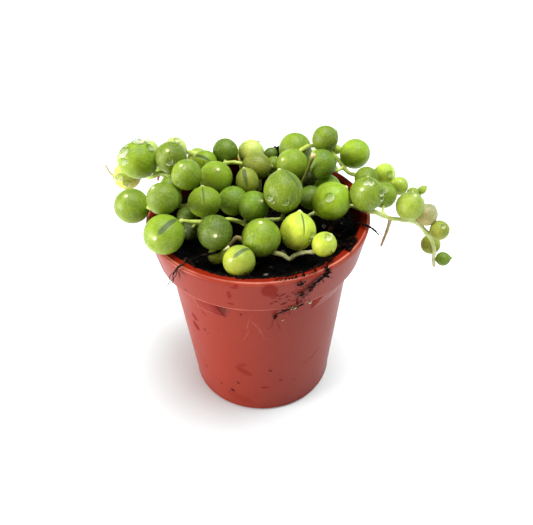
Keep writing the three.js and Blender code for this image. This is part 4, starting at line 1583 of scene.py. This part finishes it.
STRANDS = (
    Strand(
        "left_front_strand",
        ((-0.5, -3.5, 50.5), (-2.5, -3.5, 52.5), (-5, -3.5, 53.8), (-7.5, -5, 55.5), (-11, -8, 57),
         (-14, -8.5, 57.5), (-16.2, -9.5, 58.5), (-17.5, -10.5, 59.5)),
        (Pearl((-21, -15.5, 59.5), 9, FRESH, 0.95, (-0.25, -0.85, 0.45), (0.55, -0.05, 0.85)),
         Pearl((-9.8, -14.6, 59), 7.9, DEEP, 0.7, (0.1, -0.9, 0.45),
               drops=((0.25, -0.85, 0.45, 0.5),)),
         Pearl((-12.5, -4, 60), 8, GREEN, 1.15, (-0.1, 0.5, 0.85), (0.1, -1, 0.2), stretch=0.9,
               slit=0.055, drops=((0, -0.85, -0.5, 0.9),)),
         Pearl((-16.4, -6.3, 53.4), 4.5, SHADE, 0.85),
         Pearl((-1, -3.5, 58), 7.4, DEEP, 1.25, (0.5, -0.5, 0.7))),
    ),
    Strand(
        "left_strand",
        ((-13, 0.5, 50.5), (-15.5, 2.5, 54), (-19.5, 2.5, 54.6), (-23, 2, 55.9), (-25.5, -1, 57),
         (-26, -4, 59), (-25, -6.3, 60.5)),
        (Pearl((-21.8, 6.3, 57.5), 5.8, GREEN, 0.72),
         Pearl((-21.5, -8, 64), 7.4, GREEN, 0.9, (-0.4, -0.2, 0.9)),
         Pearl((-21.3, 0, 58.8), 6.2, GREEN, 0.65),
         Pearl((-30, -2.5, 58.5), 8.4, GREEN, 1, (-0.1, -0.4, 0.9)),
         Pearl((-17.5, -1, 54), 5, DEEP, 0.75)),
    ),
    Strand(
        "left_upper_strand",
        ((-12, 6, 50.5), (-14.5, 8, 54), (-18.5, 10.5, 56.5), (-22, 11.5, 58), (-25, 13, 58),
         (-27.5, 13.5, 56.5), (-30.5, 17, 55), (-33.5, 20.5, 54), (-37, 19.5, 54.5),
         (-38.5, 17, 55.5), (-39.5, 16, 59)),
        (Pearl((-30, 13, 62), 9.6, FRESH, 1.2, (-0.9, -0.3, 0.3), stretch=1.06,
               drops=((-0.72, -0.15, 0.7, 1), (-0.5, -0.05, 0.85, 0.7), (-0.6, -0.7, 0.35, 1),
                      (-0.45, -0.8, 0.4, 0.7), (-0.8, -0.3, 0.5, 1.3), (-0.55, -0.4, 0.7, 1.5),
                      (0.7, 0, 0.7, 1.2), (0.1, 0.2, 1, 1.6), (0.25, 0.6, 0.8, 1.3),
                      (0.5, 0.45, 0.75, 0.9))),
         Pearl((-29.5, 24.5, 58), 6, GLASS, 1.1, drops=((0.1, 0.1, 1, 0.9),)),
         Pearl((-34.5, 16.5, 55.3), 7.4, GLASS, 1.15, (-0.7, -0.5, 0.5),
               drops=((-0.3, -0.85, 0.4, 1.1), (-0.7, -0.6, 0.2, 0.9), (0.1, -0.9, 0, 1))),
         Pearl((-21.5, 12, 63), 8, GREEN, 0.78, (-0.05, -0.6, 0.8),
               drops=((0, -0.97, 0.25, 0.95), (0.25, -0.95, 0.15, 0.55)))),
        (Shoot(((-25, 13, 58), (-25.5, 13.5, 57), (-26, 13.5, 55.5)), "b98a66", "c07a5c", 0.42),),
        slot="lime_leaf", end="c8a890", end_radius=0.4,
    ),
    Strand(
        "back_left_strand",
        ((0.5, 16.5, 53), (-1, 17, 55.5), (-4, 15.5, 58.5), (-6.5, 15.5, 59), (-9, 16, 58),
         (-11.5, 14.5, 56), (-14.5, 11.5, 56), (-16, 8.5, 58)),
        (Pearl((-8.2, 20.5, 59.5), 6.8, DEEP, 1),
         Pearl((-10.5, 9, 58.5), 8.6, GREEN, 1.25, (0.2, -0.5, 0.8)),
         Pearl((-13.5, 17, 58.5), 6.2, GREEN, 1.25, (-0.8, 0.1, 0.5), (-0.15, -0.55, 0.8)),
         Pearl((0, 13.9, 58.5), 7, OLIVE, 0.82, (0.9, -0.2, 0.1), stretch=1.12, rust=0.8),
         Pearl((-16.9, 3, 63.3), 7.4, GREEN, 1, (-0.2, -0.4, 0.9),
               drops=((-0.05, -0.5, 0.85, 0.5), (-0.5, -0.85, -0.1, 0.6)))),
    ),
    Strand(
        "back_middle_strand",
        ((6, 13, 51), (4, 16.5, 53.5), (1.5, 19.5, 54)),
        (Pearl((-1.3, 21.7, 58.2), 7, STRAW, 1.05, (-0.8, 0.3, 0.3)),
         Pearl((4, 22.3, 57), 4, DEEP, 0.7),
         Pearl((4.5, 18, 56.5), 4.2, GREEN, 0.95)),
        slot="dark_leaf",
    ),
    Strand(
        "centre_strand",
        ((1, 6, 51), (0.5, 5, 53.5), (-0.5, 2.5, 53.3), (0.5, -0.5, 52.3), (3, -2, 52.8),
         (5.5, -2, 53), (6, -3, 55), (6, -4.5, 57.8)),
        (Pearl((6, -5, 63), 9.2, GREEN, 0.77, (-0.15, 0.45, 0.85), (0.75, -0.7, 0.1),
               stretch=1.04, point=1.2, slit=0.06,
               drops=((0.05, -1, 0, 0.8), (-0.75, -0.75, 0.1, 0.9), (-0.6, -0.85, -0.05, 0.6))),
         Pearl((-6, 2, 56), 7.4, DEEP, 1.3),
         Pearl((-2.5, 7.3, 58.2), 5.8, OLIVE, 1.1, (-0.2, 0.3, 0.9), (-0.02, -0.95, 0.2),
               stretch=1.18, slit=0.22, rust=0.5)),
    ),
    Strand(
        "front_strand",
        ((-6.9, -10.4, 51), (-6.2, -10.8, 53), (-5, -11, 54.5), (-3.5, -11.5, 53.5),
         (-2.5, -13.8, 51.4), (-0.8, -14.2, 52.2), (1.2, -14.4, 52.7), (3.4, -14.6, 52.5),
         (5.3, -14.9, 52.1), (6.9, -15.2, 51.1), (8.2, -15.3, 52.3), (9.9, -15.4, 53),
         (12.3, -16, 53.6)),
        (Pearl((-9.9, -14.2, 51.9), 4.2, OLIVE, 1.6),
         Pearl((-4.5, -20.5, 55.3), 7.2, LIME, 0.75, (-0.45, -0.65, 0.65), (0.3, -0.1, 0.95)),
         Pearl((0.5, -14.8, 57.2), 8.8, FRESH, 0.85, (0, -0.1, 1)),
         Pearl((9, -12, 56.5), 8.4, LIME, 1.2, (0.1, 0.5, 0.85), (0.2, -0.9, 0.2), point=1.8,
               slit=0.05, drops=((0.7, -0.65, 0.25, 0.8), (0.55, -0.8, 0.1, 0.5))),
         Pearl((14.5, -17, 56.5), 5.6, LIME, 0.97, (0.5, 0.1, 0.8),
               drops=((0.25, -0.3, 0.9, 0.9),))),
        (
            Shoot(((7, -15.1, 51.4), (6.9, -15.3, 50.9), (6.8, -15.4, 50.5)),
                  "c9b080", "9a6f54", 0.36),
        ),
        # The front stem's near-white cream is partly its own pale colour and partly painted light,
        # raised so that it stays bright in the shade under the pearls.
        slot="lime_leaf", green="fcfcc4", end="fcfcd0", radius=0.56, brown_until=0.44,
    ),
    Strand(
        "right_upper_strand",
        ((9, 14, 55), (11, 15, 61.5), (13, 17.5, 61.6), (15.5, 19.3, 61), (18.5, 18.5, 60),
         (21, 15.5, 59.5), (23.5, 10.5, 58), (25.5, 11, 56.8), (29.5, 9.5, 55), (34, 7, 54.5),
         (38.5, 5, 54), (42, 3, 53.5)),
        (Pearl((9, 10, 61), 8, FRESH, 0.95, (-0.55, -0.45, 0.6)),
         Pearl((10.5, 20.5, 59.5), 8.8, FRESH, 0.95, (-0.3, 0.8, 0.4)),
         Pearl((18, 17.5, 64), 6.8, GREEN, 0.82, (0.85, 0.15, 0.5)),
         Pearl((16.3, 9.2, 61.5), 7.3, DEEP, 1.15, (0.5, 0.8, 0.1)),
         Pearl((25.5, 14.5, 61), 7.8, GREEN, 1.45, (0.3, 0.8, 0.3)),
         Pearl((27.5, 6.5, 58.5), 6, GREEN, 0.87),
         Pearl((32.5, 9, 58), 5.6, PALE, 1.45, drops=((0.3, -0.8, 0.5, 0.9),)),
         Pearl((35.5, 4.5, 57.3), 4.6, PALE, 1.17),
         Pearl((38.3, 1.5, 57), 3, PALE, 0.72),
         Pearl((40.7, 2.3, 57.3), 2, PALE, 1.06, (0.8, 0.4, 0.5), stretch=1.35, point=2.5),
         Pearl((21.2, 18.2, 60.3), 2.6, PALE, 1.2, point=2.5)),
    ),
    Strand(
        "right_lower_strand",
        ((12, 0, 50.5), (12.5, -0.5, 52.5), (14.5, 0, 53), (19, -1, 54), (22.5, -0.5, 55.2),
         (25.5, -3, 55.6), (28, -4.5, 56), (32, -4.5, 54), (34.5, -4.5, 53.5), (38.5, -4.5, 52.5),
         (41, -5, 50), (43, -4.5, 47), (44, -5, 44.5), (44.5, -4.5, 41), (45, -5, 38.5)),
        (Pearl((17.5, -3, 58.5), 9.2, FRESH, 1.4, (0.7, 0.1, 0.7), point=1.3,
               drops=((-0.2, -0.7, 0.7, 1.15),)),
         Pearl((13.4, 3.8, 55), 6.1, DEEP, 0.75),
         Pearl((25.6, -4.2, 61), 8, FRESH, 0.8, (-0.4, -0.6, 0.7),
               drops=((-0.15, -0.25, 0.95, 0.9), (0.1, -0.3, 0.95, 0.8), (0.75, -0.55, 0.4, 0.8),
                      (0.8, -0.6, 0.05, 0.7))),
         Pearl((31, 1, 57), 6.4, GREEN, 1.06, drops=((-0.1, -0.6, 0.8, 0.6),)),
         Pearl((36, -5.5, 58), 6.8, PALE, 0.7),
         Pearl((41, -3.5, 54), 5.4, BLUSH, 1),
         Pearl((44, -6, 51), 4.8, OLIVE, 0.9, drops=((0.1, -0.5, 0.85, 0.6),)),
         Pearl((44, -2, 43.5), 5, OLIVE, 1.05),
         Pearl((46.8, -5, 41), 3.6, DEEP, 1, (0.95, -0.15, 0.25), point=3.2)),
        (
            Shoot(((32, -4.5, 54), (31.5, -5, 51), (31, -5, 48.5), (30.5, -5, 46)),
                  "c0b088", "b48a70", 0.46),
        ),
        green="d2da98", end="e6e0c4",
    ),
    Strand(
        "right_under_strand",
        ((17, 12.5, 51), (17.5, 12.5, 53)),
        (Pearl((18.2, 9.6, 54), 7, DEEP, 1.7),
         Pearl((14, 14.5, 54), 5.6, SHADE, 0.6)),
        slot="dark_leaf",
    ),
    Strand(
        "back_left_trailing_strand",
        ((-10, 17, 51), (-12, 20, 55.3), (-15, 23.5, 56.6), (-18.5, 26.5, 56.2), (-21.5, 28.5, 54),
         (-22.5, 30, 50), (-23, 30.5, 45.5)),
        (Pearl((-22.4, 27.1, 57), 6.4, GLASS, 1,
               drops=((0.3, -0.2, 0.95, 1), (-0.4, 0, 0.9, 0.8))),
         Pearl((-16.5, 27.5, 53.5), 6, PALE, 1),
         Pearl((-26.5, 29, 50.5), 6.2, FRESH, 1),
         Pearl((-20, 32.5, 48), 5.8, GREEN, 1),
         Pearl((-25.8, 29.7, 44.3), 4.8, FRESH, 1),
         Pearl((-21.5, 30.5, 41.5), 4.2, PALE, 1),
         Pearl((-13, 15.5, 53), 4.6, DEEP, 1)),
    ),
    Strand(
        "back_trailing_strand",
        ((-4, 20.5, 51.5), (-4.5, 23.5, 55.2), (-5, 26.5, 56.2), (-6, 29, 54), (-6.5, 30.5, 50),
         (-6, 31, 45.5)),
        (Pearl((-9, 30.2, 54), 5.6, GREEN, 1),
         Pearl((-2, 31, 51.5), 6.2, FRESH, 1),
         Pearl((-10, 32, 48), 5.8, FRESH, 1),
         Pearl((-3, 33, 45.5), 5.2, GREEN, 1),
         Pearl((-8.5, 31.5, 42.5), 4.6, PALE, 1)),
    ),
    Strand(
        "back_right_trailing_strand",
        ((12.2, 17.2, 51.5), (13, 18.6, 54.6), (14.6, 21.3, 56.2), (16.5, 25, 56.6),
         (17.5, 27.5, 55), (18, 29.5, 51.5), (18.3, 30.5, 47.5), (18, 30.5, 43.5)),
        (Pearl((12.5, 29.5, 54), 6, FRESH, 1),
         Pearl((20.5, 29, 51), 5.6, GREEN, 1),
         Pearl((14.5, 32, 49), 6, GREEN, 1),
         Pearl((21.5, 31, 46), 5.2, FRESH, 1),
         Pearl((15, 31.5, 43), 4.8, PALE, 1)),
    ),
    Strand(
        "cut_stem",
        ((10.2, 7.7, 52), (10.9, 7.1, 56.5), (12.3, 6, 61), (13, 5.4, 64), (13.7, 4.5, 67)),
        slot="pale_stem", green="74763a", end="f0d0bc", radius=0.42, end_radius=1.3, fade_from=0.9,
    ),
)

DRY_ROOTS = (
    DryRoot(
        "dry_root_left",
        ((-8.8, -8.2, 50.7), (-8.5, -11, 52.6), (-8.2, -13.4, 54.1), (-8.9, -15.3, 54.5),
         (-10.1, -16.2, 54.4), (-11.8, -16, 54), (-13.5, -15.4, 53), (-15.1, -15.8, 52.4),
         (-15.7, -17.4, 53.3), (-16.1, -18.6, 55.1), (-16.6, -20.3, 55.4), (-17.2, -21.4, 55.4),
         (-18.2, -21.8, 54.9), (-19.1, -21, 52.8), (-19.6, -19.9, 50.5), (-20.1, -19.2, 48.3)),
        hairs=(
            ((-17.3, -21.5, 55.3), (-18, -22.3, 55), (-18.3, -22.9, 54), (-19, -23.2, 53.2)),
            ((-18.4, -21.7, 54.6), (-17.8, -22.1, 53.8), (-17.6, -22.2, 52.6)),
            ((-18.9, -21.3, 53.6), (-19.8, -21.7, 52.9), (-20.2, -21.6, 51.6)),
            ((-16.2, -19, 55.2), (-15.4, -19.7, 55.3), (-14.7, -20.7, 55.1)),
            ((-19.6, -20.1, 50.4), (-20.6, -20.1, 49.4), (-21.2, -20, 48.2)),
        ),
    ),
    DryRoot(
        "dry_root_right",
        ((20.5, -5.6, 50.9), (22.4, -6, 52.6), (23.6, -7.4, 54.9), (25.2, -8.9, 55.3),
         (26.2, -9.9, 55.4), (27, -11.2, 55.4), (27.7, -12.4, 55.1)),
        0.3, 0.02, "100c0a",
    ),
)


# ---- water


@dataclass
class Drop:
    """A drop of water on a round form: the form's middle and diameter, the way from its middle to
    the drop, the drop's radius, its height as a share of it, and how much its middle hides."""

    place: Triple
    size: float
    way: Triple
    radius: float
    flat: float = 0.55
    hides: float = 0.16

    def surface(self) -> Surface:
        """A ball flattened along the way it faces: middle + radius * (cos p (cos t first + sin t
        second) + flat * sin p normal). It hides most at its rim, whose tint is painted shade on the
        side of the light and painted gathered light on the other.

        Returns:
            The drop.
        """
        normal = unit(np.array(self.way, float))
        first, second = square_to(normal, np.array([0.3, 0.9, 0.1]))
        polar, angle = np.linspace(-math.pi / 2, math.pi / 2, 17)[:, None], circle(24)[None]
        out = spun(np.cos(polar), 0 * polar, angle, first, second)
        # Painted shade on the side that faces the light, painted gathered light on the far side.
        gathered = ease(-0.5, 0.5, out @ unit(np.array([0.4, -0.3, -0.8])))[..., None]
        tint = mixed(linear("5a7a18"), linear("f2f6cc"), gathered)
        rim = np.cos(polar)[..., None] ** 3
        trait = np.broadcast_to(self.hides + (0.28 + 0.5 * gathered) * rim, tint.shape)
        ball = out + self.flat * np.sin(polar)[..., None] * normal
        middle = np.array(self.place) + normal * self.size / 2
        return closed_grid(middle + self.radius * ball, tint, trait)


@dataclass
class Water:
    """The drops on the pearls, and those on the pot."""

    # Drops on the band and at the lip, whose pale painted light stands for the glints there.
    on_pot: tuple[Drop, ...] = (
        Drop((0, 0, 45.2), 52.4, (0.426, -0.905, 0), 0.42),
        Drop((0, 0, 45.1), 52.2, (0.259, -0.966, 0), 0.4),
        Drop((0, 0, 45), 52.2, (0.285, -0.958, 0), 0.5),
        Drop((0, 0, 38.6), 46, (0.215, -0.977, 0), 0.3),
        Drop((0, 0, 54.2), 54.2, (-0.259, -0.966, 0), 0.3),
    )

    def build(self, palette: Palette) -> Piece:
        """Makes the water drops in one piece.

        Args:
            palette: The finishes.

        Returns:
            The drops.
        """
        pearls = [pearl for strand in STRANDS for pearl in strand.pearls]
        drops = [Drop(p.place, p.size, drop[:3], drop[3]) for p in pearls for drop in p.drops]
        surfaces = [drop.surface() for drop in (*drops, *self.on_pot)]
        piece = Surface.joined(surfaces).to_piece("water_drops", palette.water)
        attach(piece, ROOT)
        return piece


# ---- floor, light and camera


@dataclass
class Setting:
    """The pale floor, the soft light and the camera. Each sun is a wide far softbox: its name, the
    way to it, how wide it looks in degrees, and its strength in watts per square metre."""

    eye: Triple = (-0.13, -121.72, 139.78)
    aim: Triple = (1.9, 6.11, 32.34)
    roll: float = 1.275
    lens: float = 40.53
    floor_colour: tuple[float, ...] = (0.885, 0.95, 0.955, 1)
    floor_half: float = 2.5
    sky_colour: tuple[float, ...] = (0.97, 0.985, 1, 1)
    sky_strength: float = 0.14
    film: float = 36.0
    suns: tuple[tuple[str, Triple, float, float], ...] = (
        ("overhead_softbox", (0.2, 0.1, 1.0), 50, 4.7),
        ("left_softbox", (-1.0, -0.3, 0.16), 30, 4.6),
        ("high_left_softbox", (-1.0, -0.2, 0.4), 50, 0.4),
        ("right_strip", (1.0, 0.3, 0.12), 20, 0.3),
        ("small_bright_lamp", (-0.35, 0.5, 1.0), 5, 0.1),
    )

    def floor(self) -> None:
        """A wide plain floor under the pot."""
        half = self.floor_half
        corners = [(-half, -half), (half, -half), (half, half), (-half, half)]
        mesh = bpy.data.meshes.new("floor")
        mesh.from_pydata([(x, y, -FLOOR_GAP) for x, y in corners], [], [(0, 1, 2, 3)])
        material, bench, shader = Finish("floor_white", 0.9, 0.1).start()
        bench.fill(shader, {"Base Color": self.floor_colour})
        mesh.materials.append(material)
        floor = bpy.data.objects.new("floor", mesh)
        bpy.context.scene.collection.objects.link(floor)

    def light(self) -> None:
        """The softboxes and an even white surround."""
        for name, towards, spread, strength in self.suns:
            sun = bpy.data.lights.new(name, "SUN")
            sun.angle, sun.energy = math.radians(spread), strength
            lamp = bpy.data.objects.new(name, sun)
            lamp.rotation_mode = "QUATERNION"
            lamp.rotation_quaternion = (-Vector(towards)).to_track_quat("-Z", "Y")
            bpy.context.scene.collection.objects.link(lamp)
        world = bpy.data.worlds.new("white_surround")
        world.use_nodes = True
        shine = {"Color": self.sky_colour, "Strength": self.sky_strength}
        Bench(world.node_tree).fill(world.node_tree.nodes["Background"], shine)
        bpy.context.scene.world = world
        bpy.context.scene.view_settings.view_transform = "Standard"

    def camera(self) -> None:
        """A camera that looks down at the pot from the front, slightly rolled."""
        data = bpy.data.cameras.new("camera")
        data.sensor_width, data.lens = self.film, self.lens
        data.clip_start, data.clip_end = 0.005, 20.0
        camera = bpy.data.objects.new("camera", data)
        camera.location = Vector(self.eye) * MM
        ahead = (Vector(self.aim) - Vector(self.eye)).normalized()
        level = ahead.to_track_quat("-Z", "Y")
        camera.rotation_mode = "QUATERNION"
        camera.rotation_quaternion = Quaternion(ahead, math.radians(self.roll)) @ level
        bpy.context.scene.collection.objects.link(camera)
        bpy.context.scene.camera = camera


def main() -> None:
    """Builds the plant piece by piece."""
    setting = Setting()
    setting.camera()
    setting.floor()
    setting.light()
    palette = Palette()
    pieces = [Pot().build(palette), *Peat().build(palette)]
    pieces += [root.build(palette) for root in DRY_ROOTS]
    pieces += [strand.build(palette, number) for number, strand in enumerate(STRANDS)]
    pieces.append(Water().build(palette))
    for piece in pieces:
        log.info("%s: %d faces", piece.name, len(piece.data.polygons))


if __name__ == "__main__":
    main()
